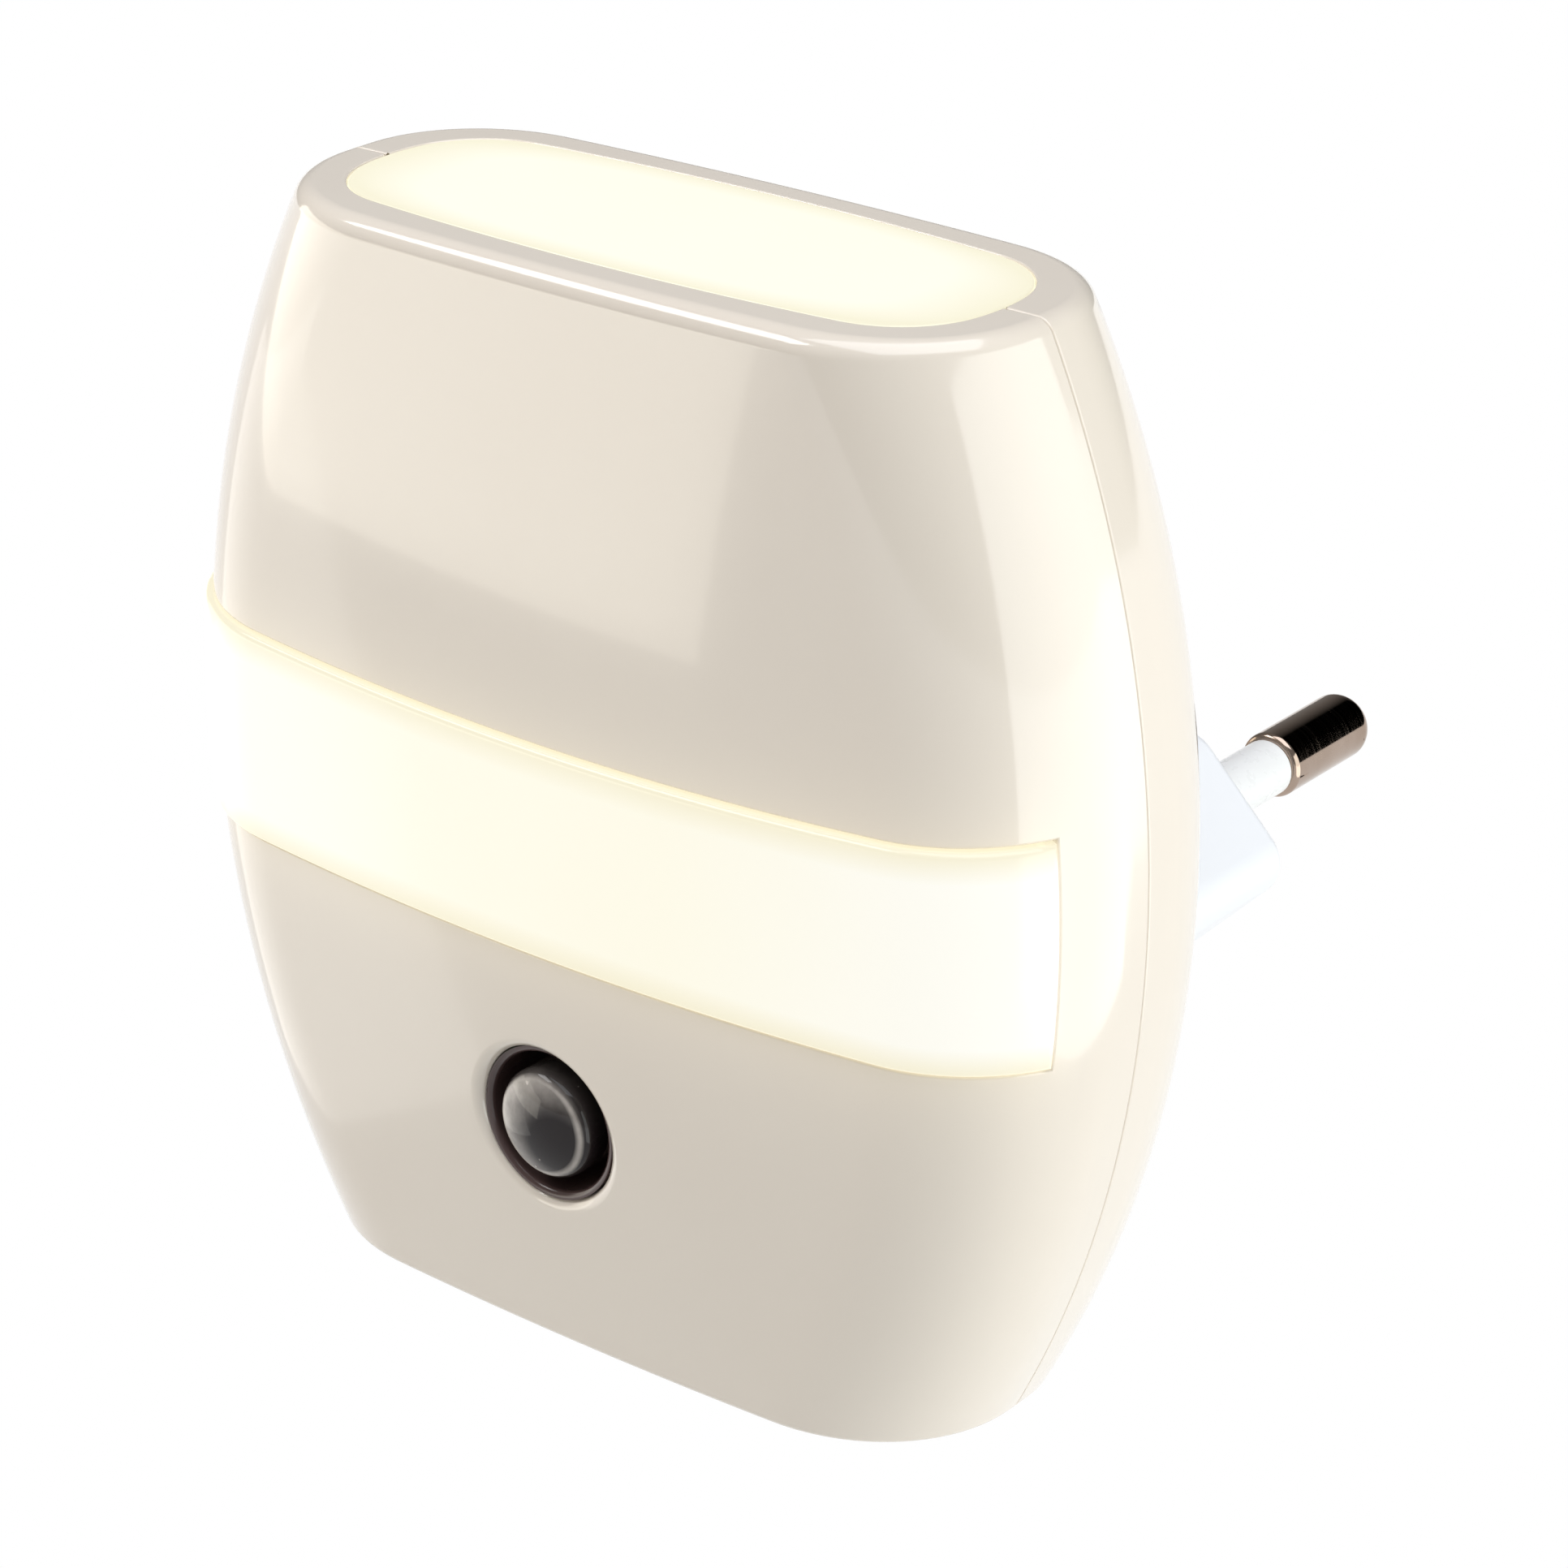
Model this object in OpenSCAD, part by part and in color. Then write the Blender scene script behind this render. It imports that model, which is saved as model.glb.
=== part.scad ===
// Plug-in night light: a glossy barrel-shaped case with a lit oval window in its
// top, a lit band around its front, a dusk sensor below the band and a two-pin
// mains plug on its back. Millimetres, +X to the viewer's right, +Y towards the
// wall, +Z up. The origin is the centre of the plug's face, between its pins.

/* [Case] */
// Widest part of the case, at mid height, measured at the seam
case_width = 58.6; // [56:0.1:62]
// Height of the case, flat bottom to flat top
case_height = 60; // [57:0.5:66]
// Front shell's bulge ahead of the seam
front_depth = 11.3; // [10.8:0.1:14]
// Rear shell's bulge behind the seam
rear_depth = 11.1; // [10.8:0.1:14]
// Radius of the curved sides, seen from the front
side_radius = 67.5; // [60:0.5:90]
// Distance from the seam to the centre that the domed faces share
face_centre = 255; // [200:5:320]
// Radius of the front shell's upright corners
front_corner = 9; // [7.5:0.1:9.6]
// Radius of the rear shell's upright corners
rear_corner = 8.2; // [7:0.1:9]
// Flare of the side walls against the axis of their curve, in degrees
side_flare = 6.9; // [5:0.1:8]
// Wall thickness of both shells
wall = 1.8; // [1.5:0.1:2]

/* [Lit windows] */
// Length of the oval window in the top
window_length = 39.4; // [36:0.2:40]
// Width of the oval window in the top
window_width = 14; // [12:0.1:14.4]
// Lower edge of the lit band above the case's middle, on the centre line
band_bottom = -6.5; // [-7:0.1:-5]
// Height of the lit band on the centre line
band_height = 11.7; // [10:0.1:12]
// How far the band stands out of the front shell
band_proud = 0.4; // [0.1:0.1:0.8]
// Distance from the seam to the ends of the band
band_end = 6.1; // [5.6:0.1:6.6]
// Gap around both windows
window_gap = 0.15; // [0.1:0.05:0.25]

/* [Dusk sensor] */
// Height of the sensor below the case's middle
sensor_drop = 16.8; // [16.6:0.1:18]
// Offset of the sensor from the case's middle, to the viewer's right
sensor_side = -0.9; // [-1:0.1:1]
// Radius of the sensor's hole in the front shell
sensor_hole_r = 4.4; // [4.2:0.1:4.8]
// Rounding of the hole's rim
sensor_lip = 0.7; // [0.4:0.05:0.8]
// Radius of the clear lens cap
lens_r = 3.1; // [3:0.1:3.4]

/* [Plug] */
// Drop of the plug's centre below the case's middle
plug_drop = 12.1; // [11.5:0.1:12.5]
// Distance from the seam to the plug's face
plug_reach = 31.9; // [29:0.1:34]
// Height of the plug's body
plug_height = 13.2; // [13:0.1:13.4]
// Distance between the points where the plug's slanted sides would meet
plug_span = 36.4; // [36:0.1:37]
// Spacing of the two pins
pin_spacing = 18.6; // [18.4:0.1:19]
// Radius of the pins' bare metal ends
pin_r = 2; // [1.95:0.01:2.05]
// Length of the pins beyond the plug's face
pin_length = 19.3; // [18.5:0.1:19.5]
// Length of bare metal at each pin's end
bare_length = 8.7; // [8.4:0.1:9]
// Radius of the insulating sleeves on the pins
sleeve_r = 1.7; // [1.6:0.05:1.8]

/* [Circuit board] */
// Width of the circuit board
board_width = 32; // [31:0.5:32.5]
// Thickness of the circuit board
board_t = 1.6; // [1.2:0.1:1.6]
// Distance of the board's front face behind the seam
board_back = 1; // [0.6:0.1:1]

/* [Hidden] */
$fn = 64;

// Fits between pieces
slack = 0.05;
drill_slack = 0.15;

// Case, measured from its middle on the seam
top_z = case_height * 0.495;
bottom_z = top_z - case_height;
half_width = case_width / 2;
disc_offset = side_radius - half_width;
disc_tilt = atan(disc_offset / face_centre);
axis_reach = norm([disc_offset, face_centre]);
far = 60;
seam_lip = 1.4;
lip_gap = 0.35;
lip_t = 0.8;
lip_end = 14;

// Band and window outlines
band_top = band_bottom + band_height;
band_high_rise = 1.15;
band_low_rise = 0.75;
flange = 1.1;
flange_t = 1;
window_long_r = 150;
window_end_r = 11;
window_corner_r = 5.2;

// Board, seen from the front
board_front = board_back;
board_rear = board_back + board_t;
board_top = 21;
board_bottom = -25.5;
post_x = 13.5;
post_top = 18;
post_bottom = -23.4;
post_r = 2.6;
board_screw_r = 1.05;

// Case screws
case_screw_x = 19.8;
case_screw_z = 12;
case_screw_r = 1.4;
screw_well_r = 3.1;
boss_split = 4.2;
well_floor = 5.6;

// Plug, inside the case
plug_tip_r = 2.2;
plug_shoulder_r = 2.5;
seat_y = 7.8;
plug_flange_t = 1.6;
neck_r = 1.25;
sleeve_depth = 4;
tail_y = 3.6;
collar_r = 2.4;
collar_t = 1.2;
wire_r = 0.75;
wire_y = 4.2;
wire_hole_z = -4.6;

// Sensor, along its own axis
sensor_face = face_drop(front_depth, sensor_side, sensor_drop);
shroud_r = sensor_hole_r - slack;
shroud_t = 0.4;
shroud_outer = sensor_hole_r + 1.1;
ledge_y = 4;
lens_bore = 2.5;
sensor_pitch = 2.54;

// Components: centres as [x, z] on the board, and sizes
band_led_x = 11;
band_led_z = -0.6;
band_led_size = 5;
band_led_t = 1.6;
top_led_x = 8;
top_led_z = 15.5;
top_led_r = 2.5;
top_led_rim = 2.9;
led_pitch = 2.54;
dropper = [-7.5, 7];
dropper_size = [13, 5.6, 12];
dropper_pitch = 10;
smoother_x = 7.5;
smoother_z = 3.5;
smoother_r = 2.5;
smoother_length = 9.6;
smoother_pitch = 2;
bridge = [11.2, -13.4];
bridge_size = [8, 3, 6.4];
bridge_pitch = [9.2, 5.08];
fuse = [0, -9];
bleed = [0, 16.6];
bias = [0, -5.4];
transistor = [-11, -16];
leg_r = 0.3;

// Distance in front of the seam of a domed face, inset from its surface
function face_drop(depth, x, z, inset = 0) =
  sqrt(pow(face_centre + depth - inset, 2) - x * x - z * z) - face_centre;

// Point where two circles meet, on the left of the way from a to b
function meet(a, ra, b, rb) =
  let (d = b - a, l = norm(d), t = (ra * ra - rb * rb + l * l) / (2 * l))
  a + d * t / l + sqrt(ra * ra - t * t) * [-d[1], d[0]] / l;

// ---------- placing ----------

// Moves a child from the case's frame (middle of the seam) to the part's frame
module in_case() {
  translate([0, -plug_reach, plug_drop]) children();
}

// Turns a child drawn in X and Y, and raised along Z, so that Z points forward
module facing_front(x = 0, z = 0) {
  translate([x, 0, z]) rotate([90, 0, 0]) children();
}

// Turns a child so that its Z points to the wall
module facing_wall(x = 0, z = 0) {
  translate([x, 0, z]) rotate([-90, 0, 0]) children();
}

// Child and its mirror image on the other side of the centre line
module both_sides() {
  children();
  mirror([1, 0, 0]) children();
}

// ---------- case form ----------

// Half section of one curved side: X runs out from the disc's axis and Y along
// it, from the face's centre. The face is an arc, the side a flared line, and
// the corner an arc that touches both.
module rim_profile(depth, corner, inset) {
  face_r = face_centre + depth - inset;
  r = corner - inset;
  seam_point = [side_radius * cos(disc_tilt), axis_reach - side_radius * sin(disc_tilt)];
  out = [cos(side_flare), -sin(side_flare)];
  along = [sin(side_flare), cos(side_flare)];
  start = seam_point - out * (inset + r);
  half_b = start * along;
  run = -half_b + sqrt(half_b * half_b - start * start + pow(face_r - r, 2));
  centre = start + along * run;
  wall_touch = centre + out * r;
  face_touch = centre * (face_r / (face_r - r));
  foot = wall_touch - along * (run + 6);
  difference() {
    intersection() {
      circle(face_r, $fn = 720);
      polygon([[0, foot[1]], foot, wall_touch + along * far, [0, face_r + far]]);
    }
    polygon([centre, wall_touch, wall_touch + along * far, face_touch * 1.2, face_touch]);
  }
  translate(centre) circle(r);
}

// Right half of one shell's solid form, ahead of the seam from near to reach
module rim_disc(depth, corner, inset, near, reach) {
  intersection() {
    translate([-disc_offset, 0, 0]) rotate([0, 0, -disc_tilt]) rotate([90, 0, 0])
      translate([0, 0, -axis_reach])
        rotate_extrude($fn = 360) rim_profile(depth, corner, inset);
    translate([0, -reach, bottom_z + inset])
      cube([far, reach - near, case_height - 2 * inset]);
  }
}

// Solid form of the front shell, drawn in by inset on every side
module front_form(inset = 0, near = 0, reach = far) {
  both_sides() rim_disc(front_depth, front_corner, inset, near, reach);
}

// Solid form of the rear shell, drawn in by inset on every side
module rear_form(inset = 0, near = 0, reach = far) {
  mirror([0, 1, 0]) both_sides() rim_disc(rear_depth, rear_corner, inset, near, reach);
}

// ---------- outlines ----------

// Oval outline of the top window, grown by grow
module window_outline(grow = 0) {
  long_r = window_long_r + grow;
  end_r = window_end_r + grow;
  corner_r = window_corner_r + grow;
  half_l = window_length / 2 + grow;
  half_w = window_width / 2 + grow;
  long_c = [0, half_w - long_r];
  end_c = [half_l - end_r, 0];
  c = meet(end_c, end_r - corner_r, long_c, long_r - corner_r);
  reach = [c[0] * long_r / (long_r - corner_r), c[1] * end_r / (end_r - corner_r)];
  intersection() {
    translate(long_c) circle(long_r, $fn = 360);
    translate(-long_c) circle(long_r, $fn = 360);
    square([2 * reach[0], 2 * half_w + 1], center = true);
  }
  intersection() {
    translate(end_c) circle(end_r);
    translate(-end_c) circle(end_r);
    square([2 * half_l + 1, 2 * reach[1]], center = true);
  }
  for (sx = [-1, 1], sy = [-1, 1]) translate([sx * c[0], sy * c[1]]) circle(corner_r);
}

// Space that the lit band takes, between two edges that rise towards the sides
module band_space(grow = 0) {
  columns = [-8 : 8];
  step = half_width / 7;
  low = [for (i = columns) [i * step, band_bottom - grow + band_low_rise * pow(i / 7, 2)]];
  high = [for (i = columns) [-i * step, band_top + grow + band_high_rise * pow(i / 7, 2)]];
  translate([0, -band_end + min(grow, window_gap), 0]) rotate([90, 0, 0])
    linear_extrude(far) polygon(concat(low, high));
}

// Six-sided outline of the plug with sharp corners
module plug_hexagon(grow) {
  half_h = plug_height / 2 + grow;
  apex = plug_span / 2 + grow * sqrt(2);
  polygon([
    [apex, 0], [apex - half_h, half_h], [half_h - apex, half_h],
    [-apex, 0], [half_h - apex, -half_h], [apex - half_h, -half_h]
  ]);
}

// Outline of the plug, with rounded tips and shoulders
module plug_outline(grow = 0) {
  half_h = plug_height / 2 + grow;
  apex = plug_span / 2 + grow * sqrt(2);
  tip_r = plug_tip_r + grow;
  shoulder_r = plug_shoulder_r + grow;
  tip = [apex - tip_r * sqrt(2), 0];
  shoulder = [apex - half_h - shoulder_r * tan(22.5), half_h - shoulder_r];
  quarter = concat(
    [for (a = [0 : 9 : 45]) tip + tip_r * [cos(a), sin(a)]],
    [for (a = [45 : 9 : 90]) shoulder + shoulder_r * [cos(a), sin(a)]]
  );
  last = len(quarter) - 1;
  half = concat(quarter, [for (i = [last : -1 : 1]) [-quarter[i][0], quarter[i][1]]]);
  polygon(concat(half, -half));
}

// Box with its four upright edges rounded, standing on z = 0
module soft_box(size, r) {
  linear_extrude(size[2]) {
    square([size[0] - 2 * r, size[1]], center = true);
    square([size[0], size[1] - 2 * r], center = true);
    for (sx = [-1, 1], sy = [-1, 1])
      translate([sx * (size[0] / 2 - r), sy * (size[1] / 2 - r)]) circle(r);
  }
}

// ---------- shells ----------

// Opening for the top window, through either shell's top wall
module window_opening() {
  translate([0, 0, top_z - wall - 1]) linear_extrude(wall + 2) window_outline(window_gap);
}

// Round opening for the sensor, with its rim rounded over
module sensor_opening() {
  facing_front(sensor_side, -sensor_drop) rotate_extrude() {
    square([sensor_hole_r, sensor_face + 1]);
    difference() {
      translate([0, sensor_face - sensor_lip]) square([sensor_hole_r + sensor_lip, 2]);
      translate([sensor_hole_r + sensor_lip, sensor_face - sensor_lip]) circle(sensor_lip);
    }
  }
}

module front_cover() {
  color("ivory") in_case() difference() {
    union() {
      difference() {
        front_form();
        front_form(wall);
      }
      // Screw bosses, from the shell's inside to the rear shell's bosses
      both_sides() intersection() {
        facing_front(case_screw_x, case_screw_z) translate([0, 0, -boss_split])
          cylinder(h = far, r = case_screw_r + 1.6);
        union() {
          front_form(wall / 2);
          translate([0, 0, bottom_z]) cube([far, boss_split, case_height]);
        }
      }
    }
    band_space(window_gap);
    window_opening();
    sensor_opening();
    both_sides() facing_front(case_screw_x, case_screw_z) translate([0, 0, -far])
      cylinder(h = far + 6, r = case_screw_r);
  }
}

// Rounded-end posts that carry the board, with pegs at its lower corners
module board_posts() {
  both_sides() {
    facing_wall(post_x, post_top) translate([0, 0, board_rear]) cylinder(h = far, r = post_r);
    facing_wall(post_x, post_bottom) translate([0, 0, board_rear]) cylinder(h = far, r = post_r);
    facing_wall(post_x, post_bottom) translate([0, 0, board_front - 0.6])
      cylinder(h = 6, r = board_screw_r + 0.2);
  }
}

// Tongue along each side, and the strip that roots it in the shell
module locating_tongues() {
  inside = wall + lip_gap + lip_t;
  difference() {
    front_form(wall + lip_gap, near = -lip_gap, reach = seam_lip);
    front_form(inside, near = -1, reach = seam_lip + 1);
    tongue_ends();
  }
  difference() {
    rear_form(wall / 2, reach = seam_lip);
    rear_form(inside, reach = seam_lip + 1);
    tongue_ends();
  }
}

// All that lies above and below the tongues
module tongue_ends() {
  translate([-far, -far, lip_end]) cube(2 * far);
  translate([-far, -far, -lip_end - 2 * far]) cube(2 * far);
}

module rear_cover() {
  color("ivory") in_case() difference() {
    union() {
      difference() {
        rear_form();
        rear_form(wall);
      }
      locating_tongues();
      intersection() {
        rear_form(wall / 2);
        union() {
          board_posts();
          // Wells for the screws
          both_sides() facing_wall(case_screw_x, case_screw_z)
            translate([0, 0, boss_split]) cylinder(h = far, r = screw_well_r + 1.1);
          // Seat around the plug's opening
          facing_front(0, -plug_drop) translate([0, 0, -far])
            linear_extrude(far - seat_y) plug_hexagon(3);
        }
      }
    }
    window_opening();
    // Opening for the plug
    facing_front(0, -plug_drop) translate([0, 0, -far]) linear_extrude(far)
      plug_outline(slack);
    // Screw wells and their clearance holes
    both_sides() facing_wall(case_screw_x, case_screw_z) {
      translate([0, 0, well_floor]) cylinder(h = far, r = screw_well_r);
      cylinder(h = far, r = case_screw_r + 0.2);
    }
    // Pilot holes for the board's screws
    both_sides() facing_wall(post_x, post_top) translate([0, 0, board_rear - 1])
      cylinder(h = 5.4, r = board_screw_r);
  }
}

// ---------- lit windows ----------

module top_window() {
  color("lightyellow") in_case() {
    translate([0, 0, top_z - wall - slack - flange_t]) {
      linear_extrude(wall + slack + flange_t) window_outline();
      intersection() {
        linear_extrude(flange_t) window_outline(flange);
        translate([0, 0, slack + flange_t + wall - top_z]) union() {
          front_form(wall + slack);
          rear_form(wall + slack);
        }
      }
    }
  }
}

module front_band() {
  color("lightyellow") in_case() difference() {
    union() {
      intersection() {
        front_form(-band_proud);
        band_space();
      }
      intersection() {
        front_form(wall + slack);
        band_space(flange);
      }
    }
    front_form(wall + slack + flange_t);
  }
}

// ---------- dusk sensor ----------

// Tube from the hole's rim back to the board, stepped outside against the shell
// and inside for the lens cap's flange
module sensor_shroud() {
  shoulder = sensor_face - wall - 0.4;
  inner_r = shroud_r - shroud_t;
  color("dimgray") in_case() facing_front(sensor_side, -sensor_drop) rotate_extrude() {
    translate([inner_r, ledge_y - 0.5]) square([shroud_t, sensor_face - ledge_y - 0.2]);
    translate([inner_r, ledge_y - 1]) square([shroud_outer - inner_r, shoulder - ledge_y + 1]);
    translate([lens_bore + 0.1, ledge_y - 1]) square([shroud_outer - lens_bore - 0.1, 1]);
    translate([shroud_outer - 0.9, -board_front]) square([0.9, board_front + ledge_y]);
  }
}

// Clear cap with a low dome, hollow from behind, on a flange in the shroud
module sensor_lens() {
  dome = 0.9;
  rim_z = sensor_face - 0.15;
  dome_r = (lens_r * lens_r + dome * dome) / (2 * dome);
  color("white", 0.4) in_case() facing_front(sensor_side, -sensor_drop) rotate_extrude() {
    difference() {
      union() {
        translate([0, ledge_y + 1]) square([lens_r, rim_z - ledge_y - 1]);
        translate([0, ledge_y]) square([shroud_r - shroud_t - slack, 1]);
        intersection() {
          translate([0, rim_z + dome - dome_r]) circle(dome_r, $fn = 180);
          translate([0, rim_z]) square([lens_r, dome]);
        }
      }
      square([lens_bore, rim_z - 1.8]);
    }
  }
}

// Dark cylinder behind the lens with a domed end, a rim and two legs
module light_sensor() {
  body_r = lens_bore - slack;
  body_z = sensor_face - 2.4;
  color("darkslategray") in_case() facing_front(sensor_side, -sensor_drop) {
    rotate_extrude() {
      translate([0, 2.4]) square([body_r, body_z - 2.4 - 0.8]);
      translate([0, body_z - 0.9]) square([body_r - 0.8, 0.9]);
      translate([body_r - 0.8, body_z - 0.8]) circle(0.8);
      translate([0, 1.6]) square([body_r + 0.4, 0.8]);
    }
    for (s = [-1, 1]) translate([s * sensor_pitch / 2, 0, -board_rear - 0.8])
      cylinder(h = board_rear + 2.6, r = leg_r);
  }
}

// ---------- plug ----------

// Six-sided plug with a flange that bears on the rear shell's seat, and stepped
// holes for the pins and their sleeves
module plug_body() {
  face = plug_reach;
  color("ghostwhite") in_case() difference() {
    facing_front(0, -plug_drop) {
      translate([0, 0, -face]) linear_extrude(face - seat_y + 0.5) plug_outline();
      translate([0, 0, -seat_y]) linear_extrude(plug_flange_t) plug_outline(2);
    }
    both_sides() facing_wall(pin_spacing / 2, -plug_drop) {
      cylinder(h = far, r = neck_r + slack / 2);
      translate([0, 0, face - sleeve_depth]) cylinder(h = far, r = sleeve_r + slack / 2);
    }
  }
}

// One pin: tail, collar and neck inside, and a round-ended bare tip
module pin() {
  tip_y = plug_reach + pin_length;
  bare_y = tip_y - bare_length;
  round_end = 1.3;
  round_rim = 0.4;
  collar_y = seat_y - plug_flange_t - collar_t;
  color("silver") in_case() facing_wall(pin_spacing / 2, -plug_drop) rotate_extrude() {
    translate([0, tail_y]) square([neck_r, bare_y - tail_y + 1]);
    translate([0, collar_y]) square([collar_r, collar_t]);
    translate([0, bare_y]) square([pin_r - round_rim, bare_length]);
    translate([0, bare_y + round_rim]) square([pin_r, bare_length - round_rim - round_end]);
    translate([pin_r - round_rim, bare_y + round_rim]) circle(round_rim);
    intersection() {
      translate([pin_r - round_end, tip_y - round_end]) circle(round_end);
      translate([0, bare_y]) square([pin_r, bare_length]);
    }
  }
}

module pin_right() {
  pin();
}

module pin_left() {
  mirror([1, 0, 0]) pin();
}

// One insulating sleeve, between the pin's bare tip and the plug's hole
module sleeve() {
  bare_y = plug_reach + pin_length - bare_length;
  color("white") in_case() facing_wall(pin_spacing / 2, -plug_drop) difference() {
    translate([0, 0, plug_reach - sleeve_depth])
      cylinder(h = bare_y - plug_reach + sleeve_depth, r = sleeve_r);
    cylinder(h = far * 2, r = neck_r + slack / 2);
  }
}

module sleeve_right() {
  sleeve();
}

module sleeve_left() {
  mirror([1, 0, 0]) sleeve();
}

// One wire from a pin's tail up behind the board and forward through it
module lead() {
  bend_r = wire_y - board_rear;
  start_z = -plug_drop + neck_r;
  bend_z = wire_hole_z - bend_r;
  color("firebrick") in_case() translate([pin_spacing / 2, 0, 0]) {
    translate([0, wire_y, start_z]) cylinder(h = bend_z - start_z, r = wire_r);
    translate([0, board_rear, bend_z]) rotate([90, 0, 90])
      rotate_extrude(angle = 90) translate([bend_r, 0]) circle(wire_r);
    facing_wall(0, wire_hole_z) translate([0, 0, board_front - 0.4])
      cylinder(h = board_t + 0.4, r = wire_r);
  }
}

module lead_right() {
  lead();
}

module lead_left() {
  mirror([1, 0, 0]) lead();
}

// ---------- circuit board ----------

// Centres of the legs that pass through the board, as [x, z]
function pair(c, pitch) = [[c[0] - pitch / 2, c[1]], [c[0] + pitch / 2, c[1]]];
leg_places = concat(
  pair([sensor_side, -sensor_drop], sensor_pitch),
  pair([-top_led_x, top_led_z - 1.6], led_pitch),
  pair([top_led_x, top_led_z - 1.6], led_pitch),
  pair(dropper, dropper_pitch),
  pair([smoother_x, smoother_z - 0.9], smoother_pitch),
  pair(fuse, 12.4),
  pair(bleed, 9),
  pair(bias, 9),
  pair(transistor, 2.54),
  [transistor],
  [for (sx = [-1, 1], sz = [-1, 1])
    [bridge[0] + sx * bridge_pitch[0] / 2, bridge[1] + sz * bridge_pitch[1] / 2]]
);

module circuit_board() {
  color("darkgreen") in_case() difference() {
    translate([-board_width / 2, board_front, board_bottom])
      cube([board_width, board_t, board_top - board_bottom]);
    for (p = leg_places) facing_wall(p[0], p[1])
      cylinder(h = 9, r = leg_r + drill_slack);
    both_sides() {
      facing_wall(pin_spacing / 2, wire_hole_z) cylinder(h = 9, r = wire_r + slack);
      facing_wall(post_x, post_top) cylinder(h = 9, r = board_screw_r + drill_slack);
      facing_wall(post_x, post_bottom) cylinder(h = 9, r = board_screw_r + 0.2 + slack);
    }
  }
}

// Straight leg through the board, from reach in front of its front face
module leg(p, reach, behind = 0.8) {
  facing_wall(p[0], p[1]) translate([0, 0, board_front - reach])
    cylinder(h = reach + board_t + behind, r = leg_r);
}

// ---------- lamps ----------

// Flat square lamp with a round pocket of yellow phosphor, on the board's front
module band_led(x) {
  color("lemonchiffon") in_case() facing_front(x, band_led_z) translate([0, 0, -board_front])
    difference() {
      linear_extrude(band_led_t) square(band_led_size, center = true);
      translate([0, 0, band_led_t - 0.3]) cylinder(h = 1, r1 = 1.8, r2 = 2.5);
    }
}

module band_led_left() {
  band_led(-band_led_x);
}

module band_led_middle() {
  band_led(0);
}

module band_led_right() {
  band_led(band_led_x);
}

// Round domed lamp lying along the board and aimed at the top window
module top_led(x) {
  stand = board_front - top_led_rim;
  color("white", 0.6) in_case() {
    translate([x, stand, top_led_z]) rotate_extrude() {
      square([top_led_rim, 1]);
      square([top_led_r, 6.1]);
      intersection() {
        translate([0, 6.1]) circle(top_led_r);
        translate([0, 6]) square([top_led_r, 3]);
      }
    }
    for (s = [-1, 1]) translate([x + s * led_pitch / 2, stand, top_led_z - 1.6]) {
      cylinder(h = 1.7, r = leg_r);
      sphere(leg_r);
      rotate([-90, 0, 0]) cylinder(h = board_rear + 0.8 - stand, r = leg_r);
    }
  }
}

module top_led_left() {
  top_led(-top_led_x);
}

module top_led_right() {
  top_led(top_led_x);
}

// ---------- components ----------

// Box-shaped mains capacitor on the board's rear, with two legs
module dropper_capacitor() {
  color("goldenrod") in_case() {
    translate([dropper[0], board_rear, dropper[1]]) rotate([-90, 0, 0])
      soft_box([dropper_size[0], dropper_size[2], dropper_size[1]], 1);
    for (p = pair(dropper, dropper_pitch)) leg(p, 0.8, 0.4);
  }
}

// Can-shaped capacitor lying on the board's rear, with its legs bent forward
module smoothing_capacitor() {
  axis_y = board_rear + smoother_r;
  color("midnightblue") in_case() {
    translate([smoother_x, axis_y, smoother_z]) rotate_extrude() difference() {
      square([smoother_r, smoother_length]);
      translate([smoother_r + 0.25, 1.8]) circle(0.5);
    }
    for (s = [-1, 1])
      translate([smoother_x + s * smoother_pitch / 2, axis_y, smoother_z - 0.9]) {
        cylinder(h = 1.2, r = leg_r);
        sphere(leg_r);
        rotate([90, 0, 0]) cylinder(h = axis_y - board_front + 0.8, r = leg_r);
      }
  }
}

// Four-legged rectifier chip on the board's front
module bridge_rectifier() {
  color("black") in_case() {
    translate([bridge[0], board_front - 0.4, bridge[1]]) rotate([90, 0, 0])
      linear_extrude(bridge_size[1]) difference() {
        square([bridge_size[0], bridge_size[2]], center = true);
        translate([0, bridge_size[2] / 2]) circle(0.8);
      }
    for (sx = [-1, 1], sz = [-1, 1]) {
      p = bridge + [sx * bridge_pitch[0] / 2, sz * bridge_pitch[1] / 2];
      leg(p, 2);
      translate([p[0], board_front - 2, p[1]]) sphere(leg_r);
      translate([p[0], board_front - 2, p[1]]) rotate([0, -sx * 90, 0])
        cylinder(h = bridge_pitch[0] / 2 - bridge_size[0] / 2 + 0.5, r = leg_r);
    }
  }
}

// Resistor lying along X with belled ends, its legs bent into the board; side
// is -1 in front of the board and 1 behind it
module resistor(c, pitch, body_l, body_r, side) {
  near = side < 0 ? board_front : board_rear;
  away = side < 0 ? board_rear : board_front;
  axis_y = near + side * body_r;
  bell = body_l * 0.22;
  translate([c[0], axis_y, c[1]]) {
    rotate([0, 90, 0]) cylinder(h = body_l - 0.4, r = body_r * 0.84, center = true);
    for (s = [-1, 1]) {
      translate([s * (body_l / 2 - bell / 2), 0, 0]) rotate([0, 90, 0])
        cylinder(h = bell, r = body_r, center = true);
      translate([s * (body_l + pitch) / 4, 0, 0]) rotate([0, 90, 0])
        cylinder(h = (pitch - body_l) / 2 + 0.4, r = leg_r, center = true);
      translate([s * pitch / 2, 0, 0]) sphere(leg_r);
      translate([s * pitch / 2, 0, 0]) rotate([side * 90, 0, 0])
        cylinder(h = abs(away - axis_y) + 0.8, r = leg_r);
    }
  }
}

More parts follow.
